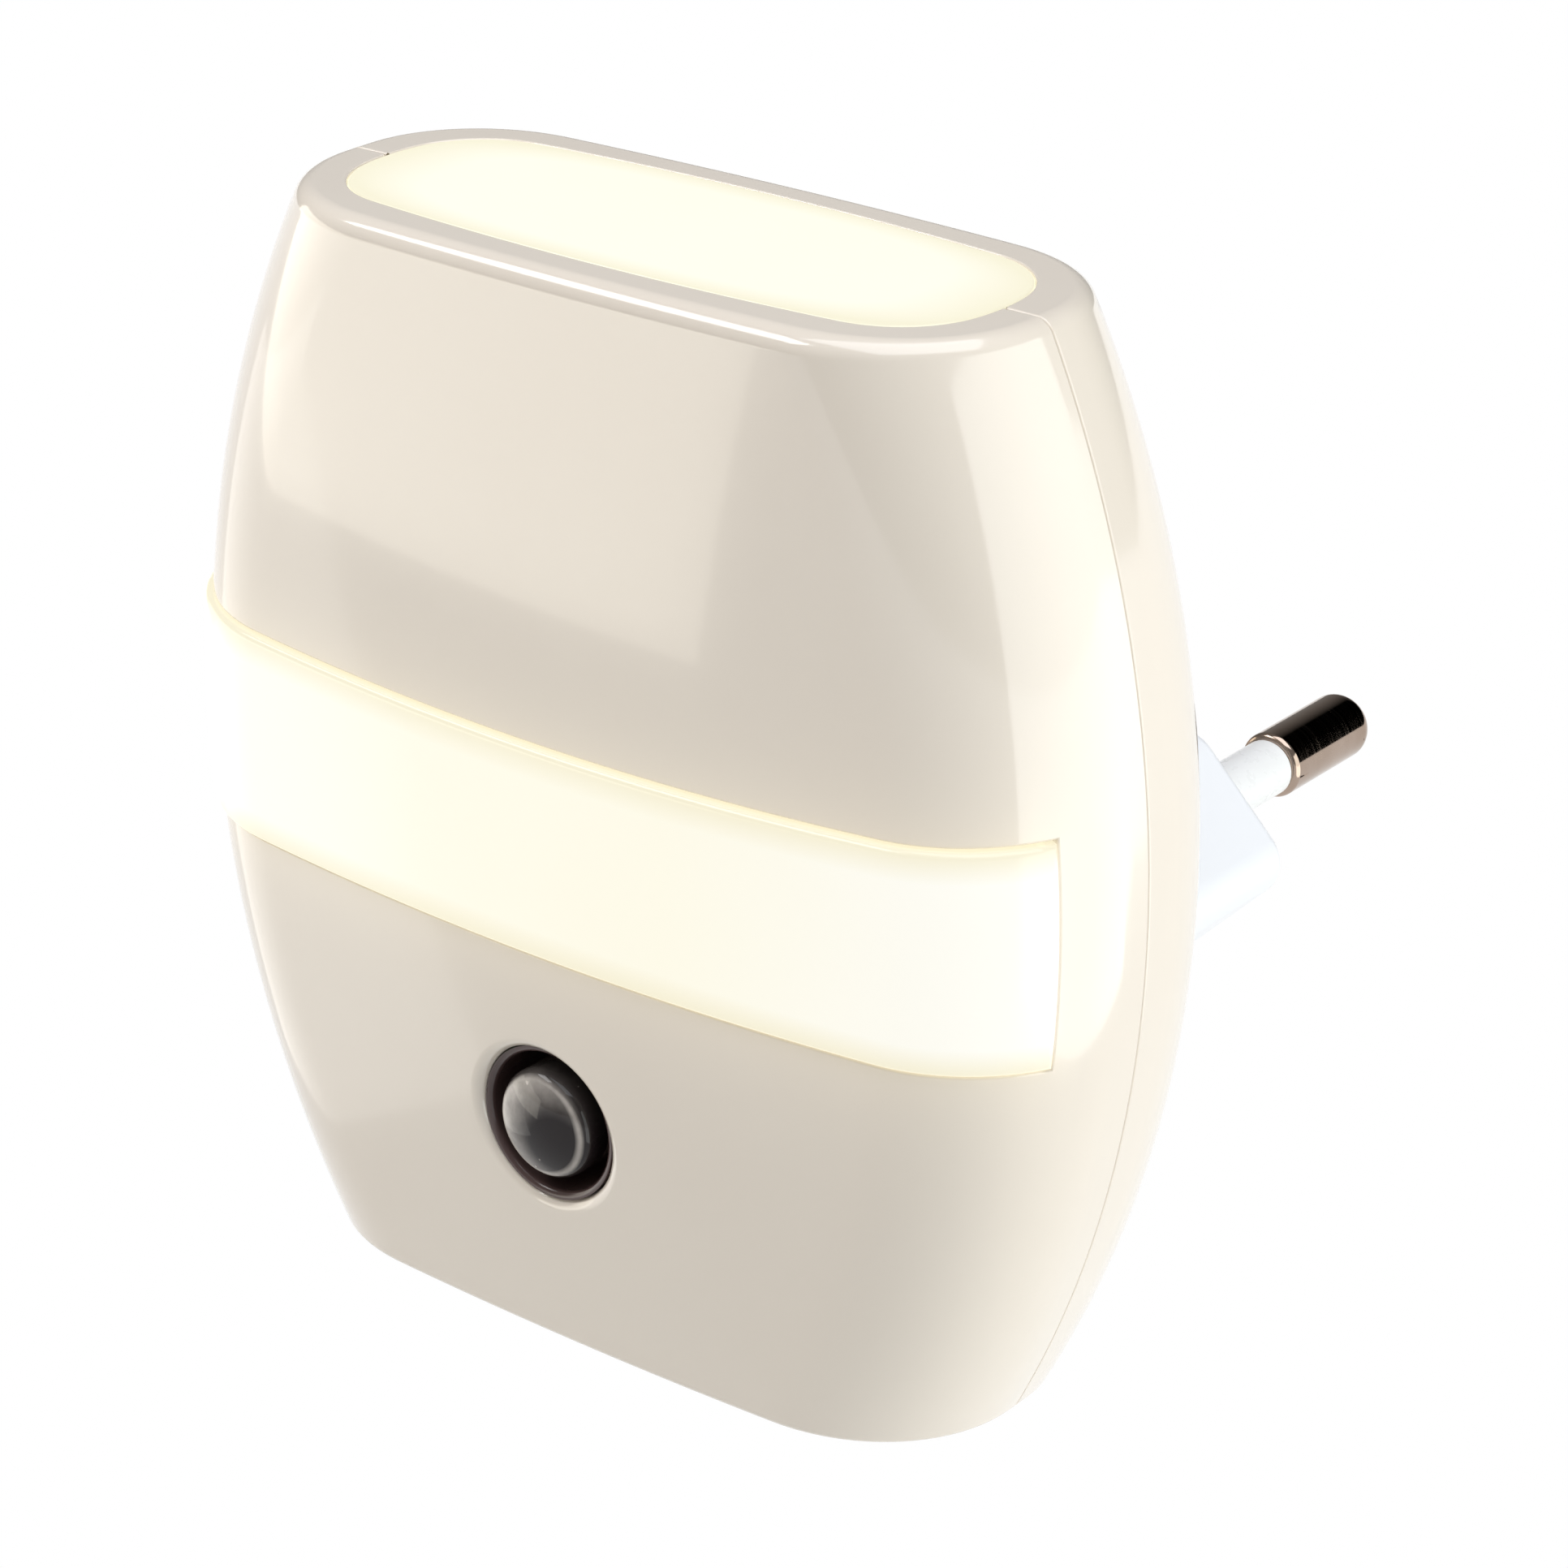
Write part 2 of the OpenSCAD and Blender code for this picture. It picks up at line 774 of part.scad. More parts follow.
module fuse_resistor() {
  color("seagreen") in_case() resistor(fuse, 12.4, 9, 1.6, -1);
}

module bleed_resistor() {
  color("burlywood") in_case() resistor(bleed, 9, 6.3, 1.2, 1);
}

module bias_resistor() {
  color("burlywood") in_case() resistor(bias, 9, 6.3, 1.2, -1);
}

// Half-round three-legged transistor standing off the board's front
module switch_transistor() {
  color("dimgray") in_case() {
    facing_front(transistor[0], transistor[1]) translate([0, 0, 0.6 - board_front])
      linear_extrude(4.6) intersection() {
        circle(2.3);
        translate([-3, -1.4]) square([6, 6]);
      }
    for (p = concat([transistor], pair(transistor, 2.54))) leg(p, 1);
  }
}

// ---------- screws ----------

// Round-headed screw: its head's underside at z = 0, shank towards -Z
module screw(head_r, head_h, shank_r, length) {
  rotate_extrude() {
    difference() {
      union() {
        square([head_r - 0.5, head_h]);
        square([head_r, head_h - 0.5]);
        translate([head_r - 0.5, head_h - 0.5]) intersection() {
          circle(0.5);
          square(0.5);
        }
      }
      translate([-1, head_h - 0.5]) square([1.6, 1]);
    }
    translate([0, -length + 0.8]) square([shank_r, length]);
    polygon([[0, -length], [shank_r, -length + 0.8], [0, -length + 0.8]]);
  }
}

module board_screws() {
  color("silver") in_case() both_sides() facing_front(post_x, post_top)
    translate([0, 0, -board_front]) screw(2, 1.3, board_screw_r, 5.6);
}

module case_screws() {
  color("silver") in_case() both_sides() facing_wall(case_screw_x, case_screw_z)
    translate([0, 0, well_floor]) screw(2.6, 1.7, case_screw_r, 10.4);
}

front_cover();
rear_cover();
top_window();
front_band();
sensor_shroud();
sensor_lens();
light_sensor();
plug_body();
pin_left();
pin_right();
sleeve_left();
sleeve_right();
lead_left();
lead_right();
circuit_board();
band_led_left();
band_led_middle();
band_led_right();
top_led_left();
top_led_right();
dropper_capacitor();
smoothing_capacitor();
bridge_rectifier();
fuse_resistor();
bleed_resistor();
bias_resistor();
switch_transistor();
board_screws();
case_screws();
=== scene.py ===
"""Looks of a plug-in night light: a glossy cream case with a lit band and window.

Every piece is drawn in millimetres from the middle of the case on the seam
between its two halves, and moved to the part's frame, in metres, when its mesh
is made. X runs to the viewer's right, Y towards the wall and Z up.
"""

import logging
import math
from dataclasses import dataclass, field
from enum import Enum
from typing import Callable, Iterable, Sequence

import bpy
import numpy as np
from mathutils import Matrix, Quaternion, Vector


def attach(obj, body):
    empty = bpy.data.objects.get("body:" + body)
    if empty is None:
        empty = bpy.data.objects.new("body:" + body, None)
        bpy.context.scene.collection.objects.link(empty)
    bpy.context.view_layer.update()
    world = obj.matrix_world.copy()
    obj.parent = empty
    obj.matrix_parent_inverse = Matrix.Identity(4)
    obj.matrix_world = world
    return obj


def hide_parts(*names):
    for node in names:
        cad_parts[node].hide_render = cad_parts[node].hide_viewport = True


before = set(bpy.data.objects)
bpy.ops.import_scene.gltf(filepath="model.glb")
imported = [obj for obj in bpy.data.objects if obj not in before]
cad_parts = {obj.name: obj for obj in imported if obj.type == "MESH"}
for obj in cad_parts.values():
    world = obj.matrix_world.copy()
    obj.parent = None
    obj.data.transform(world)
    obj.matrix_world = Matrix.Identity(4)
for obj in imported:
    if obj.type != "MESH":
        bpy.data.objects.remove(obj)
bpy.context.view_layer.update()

log = logging.getLogger("night_light")

MM = 0.001
CASE_MIDDLE = np.array([0.0, -31.9, 12.1])
UP = np.array([0.0, 0.0, 1.0])
FORWARDS = np.array([0.0, -1.0, 0.0])
TO_WALL = np.array([0.0, 1.0, 0.0])
Array = np.ndarray


# ---------- small helpers ----------


def unit(v: Array) -> Array:
    """Scales vectors to unit length."""
    return v / np.maximum(np.linalg.norm(v, axis=-1, keepdims=True), 1e-12)


def lerp(a: Array, b: Array, t: float) -> Array:
    """Returns the point a share t of the way from a to b."""
    return a + (b - a) * t


# ---------- finishes ----------


class Nodes:
    """Short ways to add and join nodes in one material or world."""

    def __init__(self, name: str, world: bool = False) -> None:
        """Starts an empty material or world.

        Args:
            name: Its name.
            world: Whether to make a world instead of a material.
        """
        self.owner = (bpy.data.worlds if world else bpy.data.materials).new(name)
        self.owner.use_nodes = True
        self.tree = self.owner.node_tree
        self.tree.nodes.clear()
        self.output = self.add("ShaderNodeOutputWorld" if world else "ShaderNodeOutputMaterial")
        place = self.add("ShaderNodeTexCoord")
        self.place = place.outputs["Generated" if world else "Object"]

    def add(self, kind: str, **values: object) -> bpy.types.Node:
        """Adds a node.

        Args:
            kind: Blender's name for the node.
            **values: Input sockets' values or links, or the node's own settings.

        Returns:
            The node.
        """
        node = self.tree.nodes.new(kind)
        for key, value in values.items():
            if hasattr(node, key):
                setattr(node, key, value)
                continue
            socket = node.inputs[key.replace("_", " ")]
            self.feed(socket, value)
        return node

    def feed(self, socket: bpy.types.NodeSocket, value: object) -> None:
        """Links an output to a socket, or sets the socket's own value.

        Args:
            socket: The input to feed.
            value: An output socket, or a plain value.
        """
        if isinstance(value, bpy.types.NodeSocket):
            self.tree.links.new(value, socket)
        else:
            socket.default_value = value

    def math(self, operation: str, *inputs: object, clamp: bool = False) -> bpy.types.NodeSocket:
        """Adds one sum.

        Args:
            operation: Blender's name for it, such as MULTIPLY.
            *inputs: Up to three numbers or outputs.
            clamp: Whether to keep the answer between 0 and 1.

        Returns:
            The answer's socket.
        """
        node = self.add("ShaderNodeMath", operation=operation, use_clamp=clamp)
        for socket, value in zip(node.inputs, inputs):
            self.feed(socket, value)
        return node.outputs[0]

    def axes(self) -> tuple:
        """Adds the place of the surface point.

        Returns:
            Its X, Y and Z, in millimetres from the case's middle.
        """
        scale = self.add("ShaderNodeVectorMath", operation="SCALE")
        self.feed(scale.inputs[0], self.place)
        scale.inputs["Scale"].default_value = 1 / MM
        shift = self.add("ShaderNodeVectorMath", operation="SUBTRACT")
        self.feed(shift.inputs[0], scale.outputs[0])
        shift.inputs[1].default_value = tuple(CASE_MIDDLE)
        split = self.add("ShaderNodeSeparateXYZ")
        self.feed(split.inputs[0], shift.outputs[0])
        return tuple(split.outputs)

    def noise(self, per_mm: float, detail: float = 2.0) -> bpy.types.NodeSocket:
        """Adds noise in the object's own space.

        Args:
            per_mm: Waves in a millimetre.
            detail: Octaves.

        Returns:
            The noise, about 0 to 1.
        """
        node = self.add("ShaderNodeTexNoise", Scale=per_mm / MM, Detail=detail, Roughness=0.55)
        self.feed(node.inputs["Vector"], self.place)
        return node.outputs["Fac"]

    def span(
        self, value: object, low: float, high: float, to: tuple = (0.0, 1.0)
    ) -> bpy.types.NodeSocket:
        """Maps low..high onto two other numbers.

        Args:
            value: What to map.
            low: Its lower end.
            high: Its upper end.
            to: What the two ends become.

        Returns:
            The mapped value.
        """
        node = self.add("ShaderNodeMapRange", clamp=True)
        for key, number in zip(("From Min", "From Max", "To Min", "To Max"), (low, high, *to)):
            node.inputs[key].default_value = number
        self.feed(node.inputs["Value"], value)
        return node.outputs["Result"]

    def uneven(self, per_mm: float, low: float, high: float) -> bpy.types.NodeSocket:
        """Adds a number that noise moves between two ends, such as a roughness."""
        return self.span(self.noise(per_mm), 0.3, 0.7, (low, high))

    def mix(self, share: object, a: object, b: object) -> bpy.types.NodeSocket:
        """Mixes two colours.

        Args:
            share: How much of b.
            a: First colour.
            b: Second colour.

        Returns:
            The mixed colour.
        """
        node = self.add("ShaderNodeMix", data_type="RGBA")
        self.feed(node.inputs[0], share)
        self.feed(node.inputs[6], a)
        self.feed(node.inputs[7], b)
        return node.outputs[2]

    def bump(self, height: object, strength: float, depth_mm: float) -> bpy.types.NodeSocket:
        """Turns a height into a bent normal.

        Args:
            height: The height, 0 to 1.
            strength: How much of it shows.
            depth_mm: How deep 1 is.

        Returns:
            The normal.
        """
        node = self.add("ShaderNodeBump")
        node.inputs["Strength"].default_value = strength
        node.inputs["Distance"].default_value = depth_mm * MM
        self.feed(node.inputs["Height"], height)
        return node.outputs["Normal"]

    def blend(self, share: object, a: bpy.types.Node, b: bpy.types.Node) -> None:
        """Ends the material or world with a blend of two shaders.

        Args:
            share: How much of b.
            a: First shader.
            b: Second shader.
        """
        mixed = self.add("ShaderNodeMixShader")
        for socket, value in zip(mixed.inputs, (share, a.outputs[0], b.outputs[0])):
            self.feed(socket, value)
        self.feed(self.output.inputs["Surface"], mixed.outputs[0])

    def surface(self, **values: object) -> bpy.types.Material:
        """Ends the material with one surface shader.

        Args:
            **values: The shader's sockets, with _ for each space.

        Returns:
            The material.
        """
        shader = self.add("ShaderNodeBsdfPrincipled")
        for key, value in values.items():
            self.feed(shader.inputs[key.replace("_", " ")], value)
        self.feed(self.output.inputs["Surface"], shader.outputs[0])
        return self.owner


def rgba(r: float, g: float, b: float) -> tuple:
    """Returns a colour with full alpha."""
    return (r, g, b, 1.0)


@dataclass(frozen=True)
class MouldedPlastic:
    """Hard moulded plastic, with a faint waviness and a fine unevenness of gloss."""

    name: str
    colour: tuple
    shade: tuple
    gloss: float = 0.18
    waviness: float = 0.06
    gloss_swing: float = 0.012

    def make(self) -> bpy.types.Material:
        """Builds the material.

        Returns:
            The material.
        """
        n = Nodes(self.name)
        clouds = n.span(n.noise(0.06, 3.0), 0.3, 0.7)
        return n.surface(
            Base_Color=n.mix(clouds, self.colour, self.shade),
            Roughness=n.uneven(1.6, self.gloss - self.gloss_swing, self.gloss + self.gloss_swing),
            Normal=n.bump(n.noise(0.12), self.waviness, 0.3),
            IOR=1.5,
        )


@dataclass(frozen=True)
class CasePlastic:
    """Glossy cream plastic that lets a little of the lamps' light through by the band."""

    name: str = "case_plastic"
    colour: tuple = rgba(0.86, 0.78, 0.685)
    shade: tuple = rgba(0.845, 0.76, 0.665)
    leak: tuple = rgba(1.0, 0.88, 0.60)
    leak_reach: float = 2.6
    leak_strength: float = 0.12

    def make(self) -> bpy.types.Material:
        """Builds the material.

        Returns:
            The material.
        """
        n = Nodes(self.name)
        clouds = n.span(n.noise(0.045, 3.0), 0.3, 0.7)
        return n.surface(
            Base_Color=n.mix(clouds, self.colour, self.shade),
            Roughness=n.uneven(1.2, 0.11, 0.15),
            Normal=n.bump(n.noise(0.11), 0.05, 0.35),
            IOR=1.55,
            Coat_Weight=0.6,
            Coat_Roughness=0.04,
            Emission_Color=self.leak,
            Emission_Strength=n.math("MULTIPLY", self.beside_band(n), self.leak_strength),
        )

    def beside_band(self, n: Nodes) -> bpy.types.NodeSocket:
        """Adds the falling share of light beside the band.

        Args:
            n: The material's nodes.

        Returns:
            1 at the band's edge, down to 0 away from it.
        """
        band = LitBand()
        _, y, z = n.axes()
        high, low = band.edge_sockets(n)
        outside = n.math("MAXIMUM", n.math("SUBTRACT", z, high), n.math("SUBTRACT", low, z))
        away = n.math("MAXIMUM", outside, 0.0)
        fall = n.math("EXPONENT", n.math("DIVIDE", away, -self.leak_reach))
        return n.math("MULTIPLY", fall, n.span(y, -band.end - 0.6, -band.end + 2.0, (1.0, 0.0)))


@dataclass(frozen=True)
class LitPlastic:
    """Milky plastic lit from behind, warmer and a little dimmer towards its edges; its ends can be
    whitened with painted lamp light.
    """

    name: str
    core: tuple
    rim: tuple
    edge: Callable
    painted_end_light: float = 0.0
    strength: float = 0.78
    white: tuple = rgba(1.0, 1.0, 0.98)
    unlit: tuple = rgba(0.26, 0.25, 0.22)

    def make(self) -> bpy.types.Material:
        """Builds the material.

        Returns:
            The material.
        """
        n = Nodes(self.name)
        share = n.math("ADD", self.edge(n), n.uneven(0.05, 0.0, 0.12), clamp=True)
        across = n.math("ABSOLUTE", n.axes()[0])
        # Painted lamp light: the glow turns whiter towards both ends, standing in for lamp light
        # falling on the ends.
        ends = n.span(across, 8.0, 26.0, (0.0, self.painted_end_light))
        return n.surface(
            Base_Color=self.unlit,
            Roughness=n.uneven(1.4, 0.16, 0.22),
            Normal=n.bump(n.noise(0.1), 0.05, 0.3),
            IOR=1.49,
            Emission_Color=n.mix(share, n.mix(ends, self.core, self.white), self.rim),
            Emission_Strength=n.span(share, 0.0, 1.0, (self.strength, self.strength * 0.9)),
        )


@dataclass(frozen=True)
class BrightMetal:
    """Turned and plated metal, with fine rings round its axis."""

    name: str
    colour: tuple
    tint: tuple
    gloss: float
    ring_mm: float = 0.22

    def make(self) -> bpy.types.Material:
        """Builds the material.

        Returns:
            The material.
        """
        n = Nodes(self.name)
        x, y, _ = n.axes()
        along = n.add("ShaderNodeCombineXYZ")
        n.feed(along.inputs[1], n.math("DIVIDE", y, self.ring_mm))
        n.feed(along.inputs[0], n.math("MULTIPLY", x, 0.08))
        rings = n.add("ShaderNodeTexNoise", Scale=1.0, Detail=3.0)
        n.feed(rings.inputs["Vector"], along.outputs[0])
        ring = rings.outputs["Fac"]
        return n.surface(
            Base_Color=n.mix(n.span(n.noise(0.25, 3.0), 0.35, 0.7), self.colour, self.tint),
            Metallic=1.0,
            Roughness=n.span(ring, 0.3, 0.7, (self.gloss - 0.05, self.gloss + 0.07)),
            Normal=n.bump(ring, 0.10, 0.02),
        )


@dataclass(frozen=True)
class ClearPlastic:
    """Clear moulded plastic with the odd fine speck."""

    name: str
    tint: tuple
    haze: float

    def make(self) -> bpy.types.Material:
        """Builds the material.

        Returns:
            The material.
        """
        n = Nodes(self.name)
        specks = n.span(n.noise(2.2), 0.66, 0.72)
        return n.surface(
            Base_Color=self.tint,
            Roughness=n.span(specks, 0.0, 1.0, (self.haze, self.haze + 0.25)),
            Normal=n.bump(specks, 0.12, 0.03),
            IOR=1.47,
            Transmission_Weight=1.0,
        )


@dataclass(frozen=True)
class DomePaintedLight:
    """Glossy opaque dome whose colour paints its look: a painted dark hollow seen through it, with
    painted refracted light as a pale side and a thin pale ring.
    """

    name: str = "clear_dome_painted_light"
    middle: tuple = (-0.90, -16.8)
    # Centre of the painted dark hollow; the painted refracted light on the pale side grows away
    # from it.
    hollow: tuple = (0.35, -17.3)
    # Radii about the middle where the painted ring of refracted light fades in, and where it fades
    # out.
    ring_from: tuple = (2.40, 2.62)
    ring_to: tuple = (2.70, 2.86)
    # Painted dark hollow seen through the dome: partly the black sensor's own colour, partly the
    # shade inside the tube.
    dark: tuple = rgba(0.013, 0.009, 0.010)
    # Pale colour of the painted refracted light.
    painted_refraction_colour: tuple = rgba(0.62, 0.57, 0.53)

    def away(self, n: Nodes, point: tuple) -> bpy.types.NodeSocket:
        """Adds the distance from a point of the sensor's face.

        Args:
            n: The material's nodes.
            point: Its x and z.

        Returns:
            The distance in millimetres.
        """
        x, _, z = n.axes()
        across = n.math("POWER", n.math("SUBTRACT", x, point[0]), 2.0)
        up = n.math("POWER", n.math("SUBTRACT", z, point[1]), 2.0)
        return n.math("SQRT", n.math("ADD", across, up))

    def make(self) -> bpy.types.Material:
        """Builds the material.

        Returns:
            The material.
        """
        n = Nodes(self.name)
        out = self.away(n, self.middle)
        # Painted refracted light: a thin pale ring about the middle.
        starts, stops = n.span(out, *self.ring_from), n.span(out, *self.ring_to, (0.7, 0.0))
        # Painted refracted light: a pale side that grows away from the hollow's centre and fades
        # out past the ring.
        side = n.math("POWER", n.span(self.away(n, self.hollow), 1.5, 3.9), 1.3)
        inside = n.math("MULTIPLY", side, n.span(out, 2.70, 2.95, (0.9, 0.1)))
        # Share of painted refracted light, streaked by noise; the specks added next are real
        # specks.
        pale = n.math("MAXIMUM", n.math("MULTIPLY", starts, stops), inside)
        streaks = n.span(n.noise(0.7, 3.0), 0.35, 0.65, (0.7, 1.1))
        specks = n.span(n.noise(2.0, 1.0), 0.74, 0.78, (0.0, 0.4))
        share = n.math("ADD", n.math("MULTIPLY", pale, streaks), specks, clamp=True)
        return n.surface(
            Base_Color=n.mix(share, self.dark, self.painted_refraction_colour),
            Roughness=n.span(specks, 0.0, 0.4, (0.05, 0.3)),
            Normal=n.bump(specks, 0.12, 0.03),
            IOR=1.36,
        )


@dataclass(frozen=True)
class CircuitLaminate:
    """Green coated board with faint copper tracks under the coating."""

    name: str
    track: tuple = rgba(0.02, 0.20, 0.07)
    gap: tuple = rgba(0.012, 0.11, 0.04)

    def make(self) -> bpy.types.Material:
        """Builds the material.

        Returns:
            The material.
        """
        n = Nodes(self.name)
        tracks = n.add("ShaderNodeTexVoronoi", feature="DISTANCE_TO_EDGE", Scale=0.28 / MM)
        n.feed(tracks.inputs["Vector"], n.place)
        gap = n.span(tracks.outputs["Distance"], 0.03, 0.05, (1.0, 0.0))
        return n.surface(
            Base_Color=n.mix(gap, self.track, self.gap),
            Roughness=n.uneven(3.0, 0.30, 0.42),
            Normal=n.bump(gap, 0.3, 0.03),
        )


@dataclass(frozen=True)
class PaintedCeramic:
    """Dipped or painted component body with a slightly uneven coat."""

    name: str
    colour: tuple
    shade: tuple

    def make(self) -> bpy.types.Material:
        """Builds the material.

        Returns:
            The material.
        """
        n = Nodes(self.name)
        blotch = n.noise(0.5, 3.0)
        return n.surface(
            Base_Color=n.mix(n.span(blotch, 0.35, 0.7), self.colour, self.shade),
            Roughness=n.uneven(1.5, 0.32, 0.5),
            Normal=n.bump(blotch, 0.2, 0.1),
        )


# ---------- case form ----------

HALF_WIDTH = 29.3
WINDOW_HALF = (19.7, 7.0)
SEAM_LINE = 0.14


@dataclass
class HalfForm:
    """Outer form of one half of the case, as a stack of level outlines.

    Each side is a disc turned about a tilted axis: its face is an arc of the
    dome, its edge a flared line, and an arc joins the two.
    """

    towards: float
    depth: float
    corner: float
    side_radius: float = 67.5
    face_centre: float = 255.0
    side_flare: float = math.radians(6.9)
    top: float = 29.7
    bottom: float = -30.3
    top_round: float = 1.2
    bottom_round: float = 0.5
    end_depth: float = 5.72
    end_share: float = 0.8
    face_steps: int = 170
    corner_steps: int = 72
    wall_steps: int = 14
    _profiles: dict = field(default_factory=dict)

    def __post_init__(self) -> None:
        """Works out the discs' tilt and reach."""
        offset = self.side_radius - HALF_WIDTH
        self.tilt = math.atan(offset / self.face_centre)
        self.reach = math.hypot(offset, self.face_centre)

    def profile(self, inset: float) -> tuple:
        """Works out the disc's section.

        Args:
            inset: How far the form is drawn in.

        Returns:
            Points and normals from the face's middle to past the seam, as
            distance from the disc's axis and distance along it.
        """
        if inset in self._profiles:
            return self._profiles[inset]
        face_r = self.face_centre + self.depth - inset
        r = self.corner - inset
        sin_t, cos_t = math.sin(self.tilt), math.cos(self.tilt)
        sin_f, cos_f = math.sin(self.side_flare), math.cos(self.side_flare)
        seam = np.array([self.side_radius * cos_t, self.reach - self.side_radius * sin_t])
        out, along = np.array([cos_f, -sin_f]), np.array([sin_f, cos_f])
        start = seam - out * (inset + r)
        half_b = float(start @ along)
        run = -half_b + math.sqrt(half_b**2 - float(start @ start) + (face_r - r) ** 2)
        centre = start + along * run
        meet = math.atan2(centre[1], centre[0])
        a = np.linspace(math.pi / 2, meet, self.face_steps)[:, None]
        face_n = np.hstack([np.cos(a), np.sin(a)])
        b = np.linspace(meet, -self.side_flare, self.corner_steps)[1:, None]
        corner_n = np.hstack([np.cos(b), np.sin(b)])
        k = np.linspace(0, run + 3, self.wall_steps)[1:, None]
        wall_p = centre + out * r - along * k
        points = np.vstack([face_n * face_r, centre + corner_n * r, wall_p])
        normals = np.vstack([face_n, corner_n, np.repeat(out[None], len(k), 0)])
        self._profiles[inset] = (points, normals)
        return points, normals

    def outline(self, z: float, inset: float) -> Array:
        """Cuts the form's right half level.

        Args:
            z: Height of the cut.
            inset: How far the form is drawn in.

        Returns:
            Rows of x, distance from the seam, and the normal's three parts,
            from the middle of the face to the seam's line.
        """
        points, normals = self.profile(inset)
        keep = points[:, 0] > abs(z) + 1e-6
        p, n = points[keep], normals[keep]
        out = np.sqrt(p[:, 0] ** 2 - z * z)
        sin_t, cos_t = math.sin(self.tilt), math.cos(self.tilt)
        share = n[:, 0] * out / p[:, 0]
        table = np.column_stack([
            out * cos_t - p[:, 1] * sin_t,
            p[:, 1] * cos_t + out * sin_t - self.face_centre,
            share * cos_t - n[:, 1] * sin_t,
            n[:, 1] * cos_t + share * sin_t,
            n[:, 0] * z / p[:, 0],
        ])
        first = int(np.argmax(table[:, 0] > 0))
        if first:
            before, after = table[first - 1], table[first]
            middle = lerp(before, after, -before[0] / (after[0] - before[0]))
            table = np.vstack([middle, table[first:]])
        last = int(np.argmax(table[:, 1] < SEAM_LINE))
        if last:
            before, after = table[last - 1], table[last]
            end = lerp(before, after, (before[1] - SEAM_LINE) / (before[1] - after[1]))
            table = np.vstack([table[:last], end])
        return table

    def at(self, share: float, z: float, inset: float = 0.0, end_depth: float = 0.0) -> Array:
        """Finds one point of a level outline.

        Args:
            share: 0 at the middle of the face and 1 at the seam; end_share is
                where the band ends.
            z: Height.
            inset: How far the form is drawn in.
            end_depth: Where end_share lies, ahead of the seam, if not at the slot's end.

        Returns:
            x, distance from the seam, and the normal.
        """
        table = self.outline(z, inset)
        length = run_length(table[:, :2])
        falls = table[::-1, 1]
        end = float(np.interp(end_depth or self.end_depth, falls, length[::-1]))
        if share <= self.end_share:
            want = end * share / self.end_share
        else:
            want = end + (length[-1] - end) * (share - self.end_share) / (1 - self.end_share)
        return np.array([np.interp(want, length, column) for column in table.T])

    def over(self, x: float, z: float) -> tuple:
        """Finds the surface in front of a place seen along Y.

        Args:
            x: Place across.
            z: Height.

        Returns:
            The point and its normal.
        """
        table = self.outline(z, 0.0)
        row = np.array([np.interp(abs(x), table[:, 0], column) for column in table.T])
        row[0] = abs(x)
        return self.place(row, z, 1.0 if x >= 0 else -1.0)

    def place(self, row: Array, z: float, side: float) -> tuple:
        """Turns an outline's row into a point and a normal.

        Args:
            row: x, distance from the seam, and the normal.
            z: Height.
            side: 1 on the right and -1 on the left.

        Returns:
            The point and its normal.
        """
        point = np.array([side * row[0], self.towards * row[1], z])
        normal = np.array([side * row[2], self.towards * row[3], row[4]])
        return point, unit(normal)


def run_length(points: Array) -> Array:
    """Measures how far along a line each of its points lies."""
    return np.concatenate([[0], np.cumsum(np.linalg.norm(np.diff(points, axis=0), axis=1))])


def window_oval(grow: float, count: int) -> Array:
    """Draws a quarter of the top window's outline, as three arcs that run on.

    Args:
        grow: How far it is drawn outside the window's own edge.
        count: How many points.

    Returns:
        Points and outward normals from (0, half width) to (half length, 0).
    """
    long_r, end_r, corner_r = 150.0 + grow, 11.0 + grow, 5.2 + grow
    half_l, half_w = WINDOW_HALF[0] + grow, WINDOW_HALF[1] + grow
    long_c, end_c = np.array([0, half_w - long_r]), np.array([half_l - end_r, 0])
    ra, rb = end_r - corner_r, long_r - corner_r
    d = long_c - end_c
    apart = float(np.linalg.norm(d))
    t = (ra * ra - rb * rb + apart * apart) / (2 * apart)
    foot = end_c + d * t / apart
    rise = math.sqrt(ra * ra - t * t) * np.array([-d[1], d[0]]) / apart
    corner_c = foot + rise
    a1 = math.atan2(*(corner_c - long_c)[::-1])
    a2 = math.atan2(*(corner_c - end_c)[::-1])
    rows = []
    for centre, r, start, stop, steps in (
        (long_c, long_r, math.pi / 2, a1, 60),
        (corner_c, corner_r, a1, a2, 40),
        (end_c, end_r, a2, 0.0, 30),
    ):
        for a in np.linspace(start, stop, steps):
            n = np.array([math.cos(a), math.sin(a)])
            rows.append(np.concatenate([centre + r * n, n]))
    table = np.array(rows)
    length = run_length(table[:, :2])
    want = np.linspace(0, length[-1], count)
    return np.column_stack([np.interp(want, length, column) for column in table.T])


